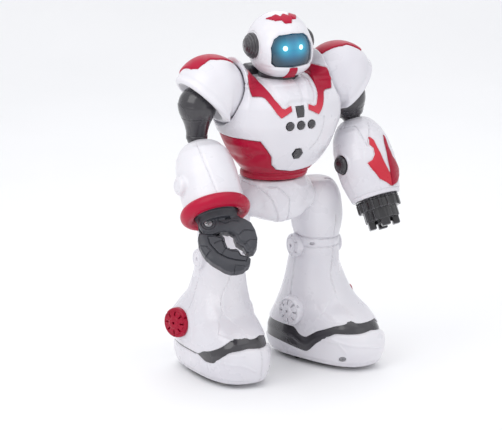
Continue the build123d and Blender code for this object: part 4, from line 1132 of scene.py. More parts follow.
FINGER_SPINE = [(-18, 18), (-17.5, 28), (-12.5, 42), (0, 53), (12, 55.5)]
FINGER_PLATE = [
    (-14, 19), (-13.5, 28), (-8, 38.5), (0, 45.5), (8, 49.5), (17, 52.5), (19, 49),
    (13, 45.8), (11.5, 41), (5, 39), (-0.5, 34), (-0.8, 24), (-5.5, 21.5)]
FINGER_LINES = [                        # points, width, depth
    ([(-24, 27), (-17, 30), (-14.5, 35), (-21, 40)], 1.2, 0.8),
    ([(-9, 28), (-3, 26.5), (3, 28)], 1.3, 0.9),
    ([(-4, 40), (0, 36), (4.5, 33)], 1.2, 0.8),
    ([(3, 61), (6, 55), (14, 57.5)], 1.2, 0.8)]
FINGER_SCALLOPS = [(-21.2, 44.2), (-11.8, 54.8), (16.8, 61.4)]
TANG = [(-16.0, 6.5), (-4.6, 6.5), (-6.5, 20), (-20, 20)]


def claw_place(x, y, z):
    return local(x, y, z, WRIST, CLAW_SIDE, R_AXIS, CLAW_LIFT)


def claw_lines(form, where, across, ahead, lines):
    return engrave(form, where, *((polyline(across, ahead, points), width, depth)
                                  for points, width, depth in lines))


def palm(x, y, z):
    across, ahead, lift = claw_place(x, y, z)
    thick, upper = np.abs(lift), lift > 0
    outline = polygon(across, ahead, PALM)
    half = 7.0 + 0.6 * ease((-outline - 1.5) / 5) + 1.2 * ease((7 - ahead) / 9)
    form = soft_max(outline, thick - half, 2.2)
    # step on the fixed finger; the whole-number mask gives double precision
    form = swell(form, (thick > 2).astype(int), (polyline(across, ahead, PALM_STEP), 1.6, -1.3))
    form = claw_lines(form, upper, across, ahead, PALM_LINES)
    form = sink(form, polygon(across, ahead, PALM_SLOT), 5.2 - lift, 0.4)
    # knuckle disc round the pivot
    away = radius(across, ahead, *PIVOT)
    form = soft_min(form, soft_max(away - 9.6, thick - 8.4, 1.6), 0.8)
    form = engrave(form, upper, (away - 6.9, 1.1, 0.7))
    form = sink(form, away - 4.5, 5.6 - lift, 0.5)
    # slot for the finger's tang
    form = sink(form, thick - 3.4, rectangle(across + 16, ahead - 14.2, 15, 15.5), 0.4)
    # base in the wrist
    base = cylinder(x, y, z, offset(WRIST, R_AXIS, -15), R_AXIS, 20.6, length=12.0, blend=1.4)
    form = soft_min(form, base, 1.5)
    cone = radius(across, lift * 1.35) - (20.0 - 0.4 * ahead)
    return soft_min(form, soft_max(cone, np.abs(ahead) - 4.0, 1.0), 2.0)


def finger(x, y, z):
    across, ahead, lift = claw_place(x, y, z)
    thick = np.abs(lift)
    half = 6.0 + 1.3 * bell(polyline(across, ahead, FINGER_SPINE), 4.6)
    form = soft_max(polygon(across, ahead, FINGER), thick - half, 2.4)
    inner = polygon(across, ahead, FINGER_PLATE)
    form = soft_min(form, soft_max(inner, thick - 7.3, 1.0), 0.5)
    form = engrave(form, True, (inner, 1.2, 0.9))
    form = claw_lines(form, lift > 0, across, ahead, FINGER_LINES)
    for centre in FINGER_SCALLOPS:
        form = soft_max(form, -(radius(across, ahead, *centre) - 3.0), 1.0)
    away = radius(across, ahead, *PIVOT)
    form = soft_max(form, 11.6 - away, 0.6)
    tang = soft_min(away - 6.4, polygon(across, ahead, TANG), 1.0)
    return np.minimum(form, soft_max(tang, thick - 3.0, 0.4))


def claw_screw(x, y, z):
    across, ahead, lift = claw_place(x, y, z)
    away = radius(across, ahead, *PIVOT)
    form = soft_max(away - 4.1, lift - 8.4 + 0.03 * away * away, 0.7)
    form = np.maximum(form, 5.6 - lift)
    slot = cross_slot(across - PIVOT[0], ahead - PIVOT[1], 2.4, 0.5)
    form = sink(form, slot, 7.2 - lift, 0.2)
    return np.minimum(form, np.maximum(away - 2.0, np.abs(lift) - 6.9))


def claw_box(across, ahead, lift):
    """Box in x, y, z round a box in the claw's own coordinates."""
    points = np.array([np.array(WRIST) + CLAW_SIDE * u + R_AXIS * v + CLAW_LIFT * w
                       for u in across for v in ahead for w in lift])
    return points.min(0), points.max(0)


make("claw_hand", palm, *claw_box((-24, 36), (-18, 47), (-22, 22)), "right_forearm", CLAW,
     ("claw_palm",), cell=VOXEL * 0.62)
make("claw_finger", finger, *claw_box((-27, 25), (-3, 64), (-10, 10)), "jaw", CLAW,
     ("claw_jaw",), cell=VOXEL * 0.62)
make("claw_screw", claw_screw, *claw_box((-15, -5), (1, 12), (-8, 10)), "right_forearm", STEEL,
     ("claw_pivot_screw",), cell=0.3)

# ---------------------------------------------------------------- left forearm
L_TOP, L_AXIS = ARMS["left"]["top"], ARMS["left"]["axis"]
# distance down the forearm, and radius there
L_PROFILE = ([-1, 0, 1.6, 4, 8, 16, 28, 45, 62, 76, 84],
             [8, 8.6, 13.0, 16.6, 20.3, 25.1, 28.6, 30.3, 29.6, 26.6, 24.4])
L_SLOPE = ([0, 3, 8, 16, 28, 60, 84], [0.35, 0.6, 0.8, 0.93, 0.99, 0.99, 0.97])
KNOB_AXIS = np.array((-1.0, -0.14, 0.0))
KNOB_AXIS = unit(KNOB_AXIS - (KNOB_AXIS @ L_AXIS) * L_AXIS)
KNOB = offset(L_TOP, L_AXIS, 44.0)
L_FRONT = np.array((0.30, -0.86, 0.42))
L_FRONT = unit(L_FRONT - (L_FRONT @ L_AXIS) * L_AXIS)
L_ACROSS = unit(np.cross(L_FRONT, L_AXIS))                  # towards +X
MUZZLE = offset(L_TOP, L_AXIS, 84.0)                        # where the barrel starts
BARREL_U = unit(np.cross(L_AXIS, (1, 0, 0)))
BARREL_V = unit(np.cross(L_AXIS, BARREL_U))
# Outlines as (across, distance down the forearm)
INNER_INLAY = [
    (-11.7, 24.6), (-14.3, 33.5), (-11.8, 38), (-12.8, 44.1), (-16.4, 49), (-20.9, 50.8),
    (-18.3, 59.4), (-13.4, 69.4), (-1.1, 79.0), (-0.9, 72), (-1.6, 65.6), (-3, 63.9),
    (-5.8, 53.4), (-7.9, 39.2), (-8.7, 30.1)]
OUTER_INLAY = [
    (7.4, 25), (9, 30.2), (7.7, 40.1), (9.3, 49), (16, 55.8), (20, 62), (18, 69), (8, 76.5),
    (-0.9, 79.2), (-0.8, 72), (-1.4, 65.6), (-0.6, 52.2), (2.6, 35.3)]
# Lines and plate as (arc round the forearm, distance down it)
L_UPPER_SEAM = smooth_line([(-44.5, 8.1), (-30, 9.5), (-22.2, 11.2), (-19.5, 20), (-17.2, 33)])
L_SLANT_SEAM = [(-3.3, 10.4), (-9, 20), (-14, 29), (-16.5, 34)]
L_SIDE_SEAMS = [[(42, 8), (48, 30), (48, 84)], [(-78, 10), (-82, 84)]]
L_PLATE = [(-48, 12), (-23, 12.5), (-18, 34), (-22, 50), (-19, 60), (-13, 78), (-48, 78)]


def left_skin(x, y, z):
    """Round body pinched into a soft keel in front, then its coordinates."""
    ahead, away = along(x, y, z, L_TOP, L_AXIS)
    across, front = local(x, y, z, L_TOP, L_ACROSS, L_FRONT)
    arc = np.arctan2(across, front) * 28.0
    form = tapered(ahead, away, L_PROFILE, L_SLOPE)
    form = form - (0.8 * bell(arc + 2 - 0.02 * ahead, 7.0) * ease((ahead - 12) / 14)
                   * ease((80 - ahead) / 12))
    return form, ahead, away, across, front, arc


def along_left(x, y, z):
    """Distance along the forearm as the inlays measure it."""
    return local(x, y, z, L_TOP, L_AXIS)[0]


def left_forearm(x, y, z):
    form, ahead, away, across, front, arc = left_skin(x, y, z)
    form = engrave(form, True, (polyline(arc, ahead, L_UPPER_SEAM), 1.2, 0.75),
                   (polyline(arc, ahead, L_SLANT_SEAM), 1.2, 0.75))
    form = form - 0.6 * ease(-polygon(arc, ahead, L_PLATE) / 2.5)
    form = engrave(form, True, *((polyline(arc, ahead, seam), 1.0, 0.6)
                                 for seam in L_SIDE_SEAMS))
    down = along_left(x, y, z)
    inlays = np.minimum(polygon(across, down, INNER_INLAY), polygon(across, down, OUTER_INLAY))
    form = engrave(form, front > 4, (inlays, 0.9, 0.5))
    form = soft_max(form, np.maximum(ahead - 83.6, 0.4 - ahead), 1.4)
    form = engrave(form, True, (ahead - 79.6, 1.1, 0.6))
    # seat for the knob
    out, off = along(x, y, z, KNOB, KNOB_AXIS)
    form = soft_min(form, soft_max(off - 11.9, np.abs(out - 24) - 5.4, 1.2), 1.6)
    form = sink(form, off - 9.8, 19.4 - out, 0.6)
    return sink(form, away - 21.2, 78.0 - ahead, 0.6)


def forearm_inlay(outline):
    def field(x, y, z):
        skin, _, _, across, front, _ = left_skin(x, y, z)
        edge = polygon(across, along_left(x, y, z), outline)
        form = plate(skin, edge, rise=1.0, gap=0.25, blend=1.0, depth=1.3)
        return np.maximum(form, 4 - front)
    return field


def knob(x, y, z):
    out, off = along(x, y, z, KNOB, KNOB_AXIS)
    form = soft_max(off - 9.1, out - 34.2 + 0.016 * off * off, 2.4)
    form = engrave(form, True, (off - 6.2, 0.9, 0.35))
    collar = soft_max(off - 9.5, np.abs(out - 25.4) - 3.2, 0.5)
    return np.minimum(np.maximum(form, 23.0 - out), collar)


def barrel(x, y, z):
    u, v, ahead = local(x, y, z, MUZZLE, BARREL_U, BARREL_V, L_AXIS)
    away = np.sqrt(u * u + v * v)
    angle = np.arctan2(v, u)
    # wide drum with 16 ribs, then a narrower one with 8
    rib = 1.5 * ease((1.9 - np.abs(fold(angle, 16)) * 21.0) / 1.0)
    form = soft_max(away - 20.6 - rib, np.abs(ahead - 6.2) - 5.8, 1.2)
    form = engrave(form, True, (ahead - 2.2, 1.0, 0.8))
    rib = 0.9 * ease((2.6 - np.abs(fold(angle, 8)) * 16.0) / 1.0)
    step = soft_max(away - 17.0 - rib, np.abs(ahead - 17.0) - 5.6, 1.0)
    form = soft_min(form, step, 0.6)
    # four muzzle blocks round a bored core
    blocks = rounded_box(*spoke(away, angle - 0.35, 4), ahead, (12.2, 0.0, 25.0),
                         (3.6, 4.6, 5.2), 1.3)
    form = soft_min(form, blocks, 0.8)
    core = soft_max(np.abs(away - 6.6) - 1.6, np.abs(ahead - 23.0) - 3.0, 0.6)
    form = soft_min(form, core, 0.4)
    form = sink(form, away - 5.0, 15.0 - ahead, 0.5)
    # four holes between the blocks
    holes = radius(*spoke(away, angle - 0.35 - math.pi / 4, 4), 12.2) - 2.6
    return sink(form, holes, 17.5 - ahead, 0.4)


make("left_forearm_cover", left_forearm, (48, -80, 166), (128, 26, 254), "left_forearm", WHITE,
     ("left_forearm_shell",))
make("forearm_inlay_inner", forearm_inlay(INNER_INLAY), (60, -84, 160), (126, -10, 250),
     "left_forearm", CORAL, ("forearm_inlay",), cell=VOXEL * 0.78)
make("forearm_inlay_outer", forearm_inlay(OUTER_INLAY), (60, -84, 160), (130, -10, 250),
     "left_forearm", RED, cell=VOXEL * 0.78)
knob_middle = np.array(offset(KNOB, KNOB_AXIS, 28.5))
make("launch_knob_cap", knob, knob_middle - 13, knob_middle + 13, "knob", DARK_GLOSS,
     ("launch_knob",), cell=0.5)
barrel_ends = np.array([MUZZLE, offset(MUZZLE, L_AXIS, 31.0)])
make("barrel_cover", barrel, barrel_ends.min(0) - 24, barrel_ends.max(0) + 24, "barrel", BARREL,
     ("barrel",), cell=VOXEL * 0.75)

# ---------------------------------------------------------------- pelvis
# z, half x, half y, centre y
PELVIS_ROWS = [
    (199.4, 31.5, 28, 0), (197.6, 33.4, 30, 0), (190, 37, 32.4, 0), (180, 37.4, 33.4, -1),
    (171, 35, 32.6, -2.5), (164, 30.5, 29.5, -4.5), (159.5, 24, 25.5, -6),
    (155.6, 14, 17.5, -7)]
pelvis_body = Stack([(z, a, b, 0, y) for z, a, b, y in PELVIS_ROWS], exponent=2.25)
# Lines and outline as (x, z)
SHIELD_RIGHT = smooth_line([(-37, 198.5), (-33.6, 196.4), (-22.8, 188.8), (-17.4, 180.5),
                            (-13.6, 171.4), (-9.5, 158), (-8.6, 154)])
SHIELD_LEFT = [(-19.4, 193.8), (-11.3, 193.4), (-4, 187.6), (1.7, 181.3), (1.0, 174.3),
               (-0.8, 157), (-0.9, 153)]
SHIELD = [(-19.4, 193.8), (-11.3, 193.4), (1.7, 181.3), (1.0, 174.3), (-0.8, 152), (-9, 152),
          (-13.6, 171.4), (-17.4, 180.5), (-22.8, 189)]
HIP_FOLD = [(10, 195), (17, 190.5), (28, 189.5)]
BACK_LINE = [(0, 168), (14, 176), (22, 196)]


def pelvis(x, y, z):
    front, back = y < 0, y > 0
    wide = np.abs(x)
    form = engrave(pelvis_body(x, y, z, 2.0), front,
                   (polyline(x, z, SHIELD_RIGHT), 1.2, 0.75),
                   (polyline(x, z, SHIELD_LEFT), 1.2, 0.75))
    form = form - 0.7 * ease(-polygon(x, z, SHIELD) / 2.0) * front
    form = swell(form, front, (polyline(x, z, HIP_FOLD), 2.0, 0.6))
    # hip roots that reach towards the thighs
    hip = ellipsoid(wide, y, z, (31.0, -3.0, 177.0), (13.0, 21.0, 16.5))
    form = soft_min(form, hip, 6.0)
    form = engrave(form, back, (x, 0.9, 0.5), (polyline(wide, z, BACK_LINE), 1.0, 0.6))
    return sink(form, radius(x, y) - 29.0, 198.4 - z, 0.5)


# ---------------------------------------------------------------- legs
# z, half x, half y, outward x, y
LEG_ROWS = [
    (190.5, 9, 9, 51, 3), (189.4, 13.4, 13.6, 51, 3), (187, 17.2, 17.4, 51, 3),
    (180, 21.8, 22.4, 51.5, 3), (168, 24.8, 25.3, 52, 3), (152, 25.7, 26.2, 53, 4),
    (140, 24.2, 25.6, 53.5, 5), (129, 21.7, 24.2, 54, 6), (116, 22.8, 26, 54, 9),
    (103, 24.3, 29, 54, 10), (91, 26.8, 31.3, 55, 10.5), (76, 30.2, 37.3, 56.5, 10),
    (66, 32.3, 43.2, 57.8, 9), (56, 33.6, 49.8, 58.7, 7), (47.5, 34.2, 55.6, 59, 5.5),
    (39, 34.7, 60.4, 59, 5), (30, 35.1, 63.4, 59, 5), (20, 35.1, 64.4, 59, 5),
    (12, 34.0, 62.8, 59, 5), (7, 32.0, 60.2, 59, 5), (4.3, 29.6, 57.6, 59, 5)]
# Lower and upper edge of the instep band: degrees round the foot (0 outward, 90 toe), z
BAND_LOW = [
    (0, 28), (20, 28), (30, 24), (41, 25), (50, 33), (63, 39), (87, 41.5), (110, 40),
    (139, 39.5), (157, 27.4), (166, 17), (170, 15), (207, 20), (260, 21), (308, 21),
    (318, 28), (360, 28)]
BAND_HIGH = [
    (0, 28.3), (20, 28.3), (26, 33), (35, 35), (50, 42), (63, 49), (87, 48.5), (105, 48.5),
    (118, 50), (139, 46), (157, 38.4), (170, 29), (179, 31.5), (182, 37.2), (207, 37.4),
    (270, 38), (308, 38), (318, 28.3), (360, 28.3)]
DEGREES = np.arange(0, 361)


def softened(table, blur=2.2):
    """The table at every degree, blurred round the circle."""
    values = np.interp(DEGREES, *zip(*table))
    kernel = np.exp(-0.5 * (np.arange(-6, 7) / blur)**2)
    kernel /= kernel.sum()
    wrapped = np.concatenate([values[-7:-1], values, values[1:7]])
    return np.convolve(wrapped, kernel, mode="valid")[:361].astype(F32)


BAND_LOW, BAND_HIGH = softened(BAND_LOW), softened(BAND_HIGH)


class Leg:
    """Leg and foot. toe and sole are turns in degrees; lines and facet are (x, z) in front."""

    def __init__(self, sign, foot, toe, sole, lines, facet, crease, crest):
        self.sign, self.foot = sign, foot
        self.toe, self.sole = math.radians(toe), math.radians(sole)
        self.lines, self.facet = lines, facet
        self.toe_ridges = ((smooth_line(crease), 0.9, 1.5), (crest, 0.7, 1.2))
        self.turn = sign * self.toe
        self.outer_axis = unit((sign * 0.92, -0.38, 0.06))
        self.outer_ankle = (sign * 103.5, 15.0, 54.0)
        self.body = Stack([self.station(*row) for row in LEG_ROWS],
                          turn=lambda z: self.turn * np.clip((110 - z) / 50.0, 0, 1))

    def station(self, z, half_x, half_y, out, y):
        def share(top, span):
            return min(1.0, max(0.0, (top - z) / span))

        to_foot = share(76, 28.0)
        longer = share(66, 14.0) * 5.4  # the foot grows towards the toe
        x = self.sign * out * (1 - to_foot) + self.foot[0] * to_foot
        exponent = 2.05 + 0.5 * share(70, 40.0) + 0.12
        return (z, half_x, half_y + longer, x + longer * math.sin(self.turn),
                y - longer * math.cos(self.toe), exponent)

    def foot_place(self, x, y):
        """Outward, and towards the heel."""
        out, heel = turned(x - self.foot[0], y - self.foot[1],
                           math.cos(self.turn), math.sin(self.turn))
        return out * self.sign, heel

    def edge(self, table, x, y):
        out, heel = self.foot_place(x, y)
        angle = np.degrees(np.arctan2(-heel / 67.0, out / 35.0)) % 360.0
        return np.interp(angle, DEGREES, table).astype(F32)

    def skin(self, x, y, z, end_blend=2.4):
        sign = self.sign
        form = self.body(x, y, z, end_blend)
        # kneecap
        form = form - 1.2 * double_bell(z - 150, 13, x - sign * 50, 13) * (y < 5)
        # soft ridge down the shin between pressed-in flanks
        shin = ease((z - 64) / 14) * ease((112 - z) / 10) * (y < 5)
        ridge = np.abs(x - sign * (57.5 + (z - 100) * 0.05))
        form = swell(form, shin, (ridge, 7.0, 1.0), (ridge - 16, 5.0, -0.9))
        # calf
        return form - 1.6 * double_bell(z - 100, 17, x - sign * 55, 14) * (y > 12)

    def shoe_skin(self, x, y, z):
        """Skin of the shoe, set back where the band edge is high, and that edge."""
        low = self.edge(BAND_LOW, x, y)
        inset = ease((low - 29) / 10.0) * (2.5 * ease((z - 14) / 16.0))
        return self.skin(x, y, z, 2.6) - inset, low

    def gap(self, y, z):
        """Distance to the gap between the thigh's front and back shells."""
        return np.abs(y + 6.0 - (184 - z) * 0.04)


LEGS = {
    "right": Leg(
        -1.0, (-57.5, 5.0), toe=1.5, sole=-7.0,
        lines=[smooth_line([(-56, 122), (-56, 110), (-60.5, 98), (-66.5, 87), (-69.0, 79),
                            (-69.8, 72)])],
        facet=[(-69.8, 72), (-77, 64), (-84, 53), (-70, 48), (-56, 48), (-61, 60)],
        crease=[(-100, 31), (-84, 27.5), (-70.3, 26), (-56.3, 18.5)],
        crest=[(-92, 34), (-80, 37), (-68, 36)]),
    "left": Leg(
        1.0, (59.0, 5.0), toe=17.0, sole=17.0,
        lines=[smooth_line([(61.8, 122), (60.6, 114.7), (56.2, 97), (55.8, 90), (57.5, 75)]),
               [(61.4, 155), (60.4, 131)]],
        facet=[(57.5, 76), (46, 65), (35, 52), (46, 48.4), (66, 49.4), (62.6, 61)],
        crease=[(36, 37), (40, 34.8), (47, 31.5), (56.4, 29.3), (72, 27.6), (92, 23.0)],
        crest=[(36.4, 31.6), (45, 30.5), (51, 21)])}


def leg_cover(leg):
    sign, facet = leg.sign, leg.facet
    facet_line = [facet[5], ((facet[5][0] + facet[4][0]) / 2 + 1.0 * sign, 55)]
    cone_base = offset(leg.outer_ankle, leg.outer_axis, -30.0)

    def field(x, y, z):
        skin = leg.skin(x, y, z)
        high = leg.edge(BAND_HIGH, x, y)
        hem = high + 0.22 - z
        front, out = y < 0, (x - sign * 54.0) * sign
        form = soft_max(skin, hem, 1.5)
        form = engrave(form, y < 8, *((polyline(x, z, line), 1.2, 0.75) for line in leg.lines))
        form = form + 0.8 * ease(-polygon(x, z, facet) / 1.6) * front
        form = engrave(form, front, (polyline(x, z, facet_line), 0.9, 0.5))
        # side seams of the shin and the thigh
        form = engrave(form, (z < 118) & (z > 50), (y - 8.0, 0.9, 0.55))
        form = engrave(form, z > 132, (y - 9.5, 0.9, 0.5))
        # knee: thigh hem, ring and screw hole
        form = engrave(form, True, (z - (130.4 - 0.035 * out), 1.9, 1.5))
        form = swell(form, True, (z - 125.6, 3.2, 0.7))
        form = engrave(form, True, (z - 121.0, 1.2, 0.7))
        hole = radius(x, z, sign * 39.5, 125.0) - 1.7
        form = recess(form, hole, 2.2, 0.4, front, skin)
        # gap between the thigh shells, over the top and down the outside
        form = recess(form, leg.gap(y, z) - 1.15, 2.6, 0.5, (z > 139) & (out > 2), skin)
        # outer knee boss
        away, outward = radius(y, z, 9.0, 118.5), x * sign
        boss = np.maximum(soft_max(away - 10.2, outward - 80.6, 2.4), 60.0 - outward)
        form = soft_min(form, boss, 2.0)
        form = engrave(form, outward > 78, (away - 7.4, 1.0, 0.5))
        form = sink(form, away - 1.6, 79.2 - outward, 0.4)
        # cone that carries the outer ankle disc
        ahead, off = along(x, y, z, cone_base, leg.outer_axis)
        cone = soft_max((off - (25.0 - 0.42 * ahead)) * 0.9, np.abs(ahead - 10.0) - 11.5, 2.0)
        form = soft_min(form, soft_max(cone, hem, 1.5), 9.0 * ease((z - high - 2.0) / 8.0) + 0.8)
        # two small rings on the calf
        form = engrave(form, y > 8, *((radius(x, z, sign * 55, ring_z) - 2.6, 0.9, 0.5)
                                      for ring_z in (96.0, 88.0)))
        return np.maximum(form, 22.0 - z)
    return field


def shoe(leg):
    def field(x, y, z):
        skin, low = leg.shoe_skin(x, y, z)
        out, heel = leg.foot_place(x, y)
        form = soft_max(skin, z - low + 0.22, 2.6)
        if leg.sign < 0:
            form = engrave(form, heel < 0, (out + 10.6, 1.0, 0.6))
        front = (y < -12).astype(float)
        for line, height, width in leg.toe_ridges:
            form = form - front * height * bell(polyline(x, z, line), width)
        # sole line and heel seam
        form = engrave(form, True, (z - 9.0, 0.9, 0.45))
        form = engrave(form, heel > 0, (out, 0.9, 0.45))
        if leg.sign > 0:
            form = recess(form, radius(x, z, *TOE_SCREW) - 2.7, 1.9, 0.4, y < -20, skin)
        # hollow from below for the wheels and the sole plate
        u, v = turned(x - leg.foot[0], y - leg.foot[1], math.cos(leg.sole), math.sin(leg.sole))
        well = (radius(u / 26.2, v / 54.2) - 1.0) * 26.2
        return sink(form, well, z - 26.0, 0.5)
    return field


def both(part, *settings):
    """Field of one part on both legs."""
    def field(x, y, z):
        return np.minimum(*(part(leg, x, y, z, *settings) for leg in LEGS.values()))
    return field


def band(leg, x, y, z):
    skin = leg.skin(x, y, z)
    low, high = leg.edge(BAND_LOW, x, y), leg.edge(BAND_HIGH, x, y)
    form = swell(skin + 1.3, True, (z - (low + high) * 0.5, 2.5, 0.35))
    limits = (low - 3.0 - z, z - high - 3.0, -(skin + 5.5), 12.0 - z, 6.0 - x * leg.sign)
    for limit in limits:
        form = np.maximum(form, limit)
    return form


def gap_shade_strip(leg, x, y, z):
    """Dark strip on the floor of the thigh gap: painted shade for the shadow in the gap."""
    skin = leg.skin(x, y, z)
    form = np.maximum(skin + 1.5, leg.gap(y, z) - 1.05)
    for limit in (-(skin + 2.55), 139.6 - z, 2.4 - (x - leg.sign * 54) * leg.sign):
        form = np.maximum(form, limit)
    return form


def disc(x, y, z, centre, axis, size, face):
    """Domed round cover with its face that far out; then its coordinates and radius."""
    axis = unit(axis)
    level = unit(np.cross((0, 0, 1.0), axis))
    u, v, ahead = local(x, y, z, centre, level, unit(np.cross(axis, level)), axis)
    away = np.sqrt(u * u + v * v)
    form = soft_max(away - size, ahead - face + 0.010 * away * away, 2.6)
    return np.maximum(form, -ahead), u, v, ahead, away


def knee_disc(leg, x, y, z):
    size, face = 12.2, 20.6
    form, u, v, ahead, away = disc(x, y, z, (leg.sign * 46.0, 8, 120), (-leg.sign, 0, 0.0),
                                   size, face)
    form = engrave(form, True, (away - size * 0.66, 1.1, 0.6))
    form = sink(form, away - 1.7, face - 2.2 - ahead, 0.4)
    for i in range(6):
        angle = math.radians(30 + i * 60)
        hole = radius(u, v, size * 0.83 * math.cos(angle), size * 0.83 * math.sin(angle))
        form = sink(form, hole - 0.75, face - 3.0 - ahead, 0.3)
    return form


def ankle_disc(x, y, z, centre, axis, size, face):
    form, u, v, ahead, away = disc(x, y, z, centre, axis, size, face)
    form = engrave(form, True, (away - size * 0.78, 1.2, 0.7))
    form = form - 0.8 * ease((size * 0.42 - away) / 1.5)
    # eight slots, three nicks in the rim and a middle hole
    angle = np.arctan2(v, u)
    slots = rectangle(spoke(away, angle, 8)[1], away - size * 0.61, 0.75, 2.0)
    form = sink(form, slots, face - 3.4 - ahead, 0.5)
    nicks = radius(*spoke(away, angle - 0.5, 3), size * 0.92) - 1.1
    form = sink(form, nicks, face - 4.5 - ahead, 0.4)
    return sink(form, away - 1.3, face - 2.4 - ahead, 0.3)


def inner_ankle(leg, x, y, z):
    axis = (-leg.sign * math.cos(leg.toe), -math.sin(leg.toe), 0)
    height, inward = (54.5, 22.6) if leg.sign > 0 else (58.0, 18.0)
    centre = offset((leg.sign * 57.5, 12, height), axis, inward)
    return ankle_disc(x, y, z, centre, axis, size=14.7, face=20.0)


def outer_ankle(leg, x, y, z):
    centre = offset(leg.outer_ankle, leg.outer_axis, -14.0)
    return ankle_disc(x, y, z, centre, leg.outer_axis, size=15.2, face=14.0)


def toe_screw(x, y, z):
    skin, _ = LEGS["left"].shoe_skin(x, y, z)
    form = soft_max(radius(x, z, *TOE_SCREW) - 2.55, skin + 0.7, 0.5)
    slot = cross_slot(x - TOE_SCREW[0], z - TOE_SCREW[1], 1.6, 0.35)
    form = sink(form, slot, -(skin + 1.5), 0.2)
    return np.maximum(form, np.maximum(-(skin + 2.1), y + 20.0))


make("pelvis_cover", pelvis, (-50, -38, 152), (50, 36, 201), "legs", WHITE, ("pelvis_shell",),
     cell=VOXEL * 0.95)
for side, (low_x, high_x) in zip(SIDES, ((-104, -18), (18, 112))):
    make(side + "_leg_cover", leg_cover(LEGS[side]), (low_x, -78, 24), (high_x, 74, 193),
         "legs", WHITE, (side + "_leg_shell",), cell=VOXEL * 1.12)
    make(side + "_shoe", shoe(LEGS[side]), (low_x, -80, 2.5), (high_x, 78, 46), "legs", WHITE,
         (side + "_foot_shell",), cell=VOXEL * 1.06)
make("instep_band_covers", both(band), (-104, -80, 9), (112, 78, 56), "legs", DARK_GLOSS,
     ("instep_bands",), cell=VOXEL * 1.06, keep=2)
# painted shade: dark strips on the floor of the thigh gaps, where shade falls
make("thigh_gap_shade_strips", both(gap_shade_strip), (-84, -12, 137), (84, 4, 192), "legs", DARK,
     cell=0.5, keep=2)
for name, part, low, high, material, stands in (
        ("knee_disc_covers", knee_disc, (-50, -6, 106), (50, 22, 134), WHITE, "knee_discs"),
        ("inner_ankle_covers", inner_ankle, (-46, -20, 36), (46, 36, 79), WHITE,
         "inner_ankle_discs"),
        ("outer_ankle_covers", outer_ankle, (-110, -12, 34), (110, 38, 74), RED,
         "outer_ankle_discs")):
    make(name, both(part), low, high, "legs", material, (stands,), cell=VOXEL * 0.8, keep=2)
make("toe_screw", toe_screw, (46, -80, 10), (54, -40, 18), "legs", STEEL, cell=0.3)

# ---------------------------------------------------------------- CAD nodes
NODES = {
    DARK: "waist_shaft neck_shaft arm_gearboxes sole_plates power_switch instep_bands",
    BOARD: "control_board eye_board",
    SPEAKER: "speaker",
    WRAP: "battery_pack",
    STEEL: "drive_motors sole_screws battery_door_screw claw_pivot_screw right_drive_axle "
           "left_drive_axle",
    GEAR: "glide_pads right_motor_pinion left_motor_pinion",
    RUBBER: "right_drive_wheels left_drive_wheels",
    RED: "outer_ankle_discs"}
NODE_MATERIALS = {name: material for material, names in NODES.items() for name in names.split()}


def node_material(name):
    if name in NODE_MATERIALS:
        return NODE_MATERIALS[name]
    if "arm" in name and "upper" in name:
        return DARK
    return RED if "cap" in name else WHITE


for name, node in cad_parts.items():
    material = node_material(name)
    if len(node.data.materials) == 0:
        node.data.materials.append(material)
    for slot in node.material_slots:
        slot.material = material

# ---------------------------------------------------------------- floor, lights, camera
FLOOR_HALF = 6.0                        # metres from here on
FLOOR_BEND = 1.2                        # radius of the curve, and the y where it starts
VIEW_TURN = -28.0                       # degrees round z from straight in front


def floor_material():
    m = Shader("studio_floor")
    color = m.mix(m.remap(m.noise(scale=3), 0.3, 0.7), srgb("#fafafb"), srgb("#f7f7f8"))
    return m.finish(color, m.remap(m.noise(scale=20), 0.3, 0.7, 0.6, 0.75),
                    m.bump(m.noise(scale=60), strength=0.02, distance=0.0005), spec=0.2)


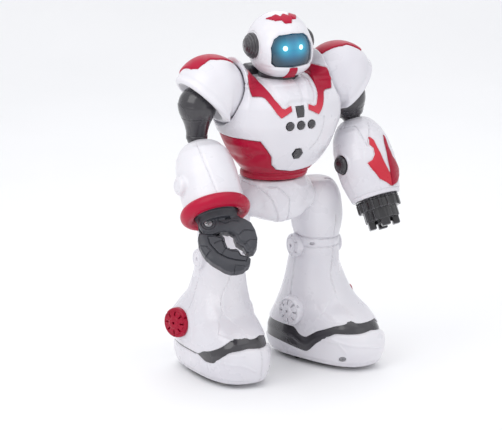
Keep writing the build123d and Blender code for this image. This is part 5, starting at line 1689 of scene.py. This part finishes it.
def studio_floor():
    """Floor that curves up into a wall behind the robot."""
    material = floor_material()
    profile = [(-FLOOR_HALF, 0.0), (FLOOR_BEND, 0.0)]
    for i in range(1, 13):
        angle = math.radians(i * 7.5)
        profile.append((FLOOR_BEND + FLOOR_BEND * math.sin(angle),
                        FLOOR_BEND * (1 - math.cos(angle))))
    profile.append((2 * FLOOR_BEND, 5.0))
    draft = bmesh.new()
    rows = [[draft.verts.new((x, y, z)) for x in (-FLOOR_HALF, FLOOR_HALF)] for y, z in profile]
    for near, far in zip(rows, rows[1:]):
        draft.faces.new((near[0], near[1], far[1], far[0])).smooth = True
    mesh = bpy.data.meshes.new("studio_floor")
    draft.to_mesh(mesh)
    draft.free()
    floor = bpy.data.objects.new("studio_floor", mesh)
    floor.data.materials.append(material)
    bpy.context.scene.collection.objects.link(floor)
    floor.rotation_euler = (0, 0, math.radians(VIEW_TURN))


def around(turn, rise, distance, centre=(0, 0, 0.17)):
    """Point at that distance; turn is from straight in front, rise is above level."""
    turn, rise = math.radians(turn), math.radians(rise)
    return (centre[0] + distance * math.sin(turn) * math.cos(rise),
            centre[1] - distance * math.cos(turn) * math.cos(rise),
            centre[2] + distance * math.sin(rise))


def aimed(name, data, place, target):
    made = bpy.data.objects.new(name, data)
    bpy.context.scene.collection.objects.link(made)
    made.location = place
    made.rotation_mode = "QUATERNION"
    # the camera's own location is single precision, so every aim starts from it
    made.rotation_quaternion = (Vector(target) - made.location).to_track_quat("-Z", "Y")
    return made


def lamp(name, place, size, power):
    data = bpy.data.lights.new(name, "AREA")
    data.shape = "RECTANGLE"
    data.size, data.size_y = size
    data.energy = power
    data.color = (1, 1, 1)
    aimed(name, data, place, target=(0, 0, 0.19))


def camera():
    data = bpy.data.cameras.new("camera")
    data.sensor_width = 36.0
    data.lens = 322.7
    data.clip_start, data.clip_end = 0.05, 50
    target = (-0.0238, 0.0, 0.1595)
    place = around(turn=VIEW_TURN, rise=14.0, distance=4.5, centre=target)
    bpy.context.scene.camera = aimed("camera", data, place, target)


studio_floor()
lamp("key", around(turn=-72, rise=42, distance=1.3), size=(0.9, 0.9), power=4.2)
lamp("fill", around(turn=28, rise=22, distance=1.5), size=(1.2, 1.2), power=1.5)
lamp("top", (0, -0.1, 1.5), size=(1.4, 1.4), power=4)
lamp("rim", around(turn=150, rise=40, distance=1.4), size=(0.8, 1.0), power=1.6)

world = bpy.data.worlds.new("studio")
bpy.context.scene.world = world
world.use_nodes = True
background = world.node_tree.nodes["Background"]
background.inputs["Color"].default_value = (0.97, 0.98, 1.0, 1)
background.inputs["Strength"].default_value = 0.85
bpy.context.scene.view_settings.view_transform = "Standard"
camera()
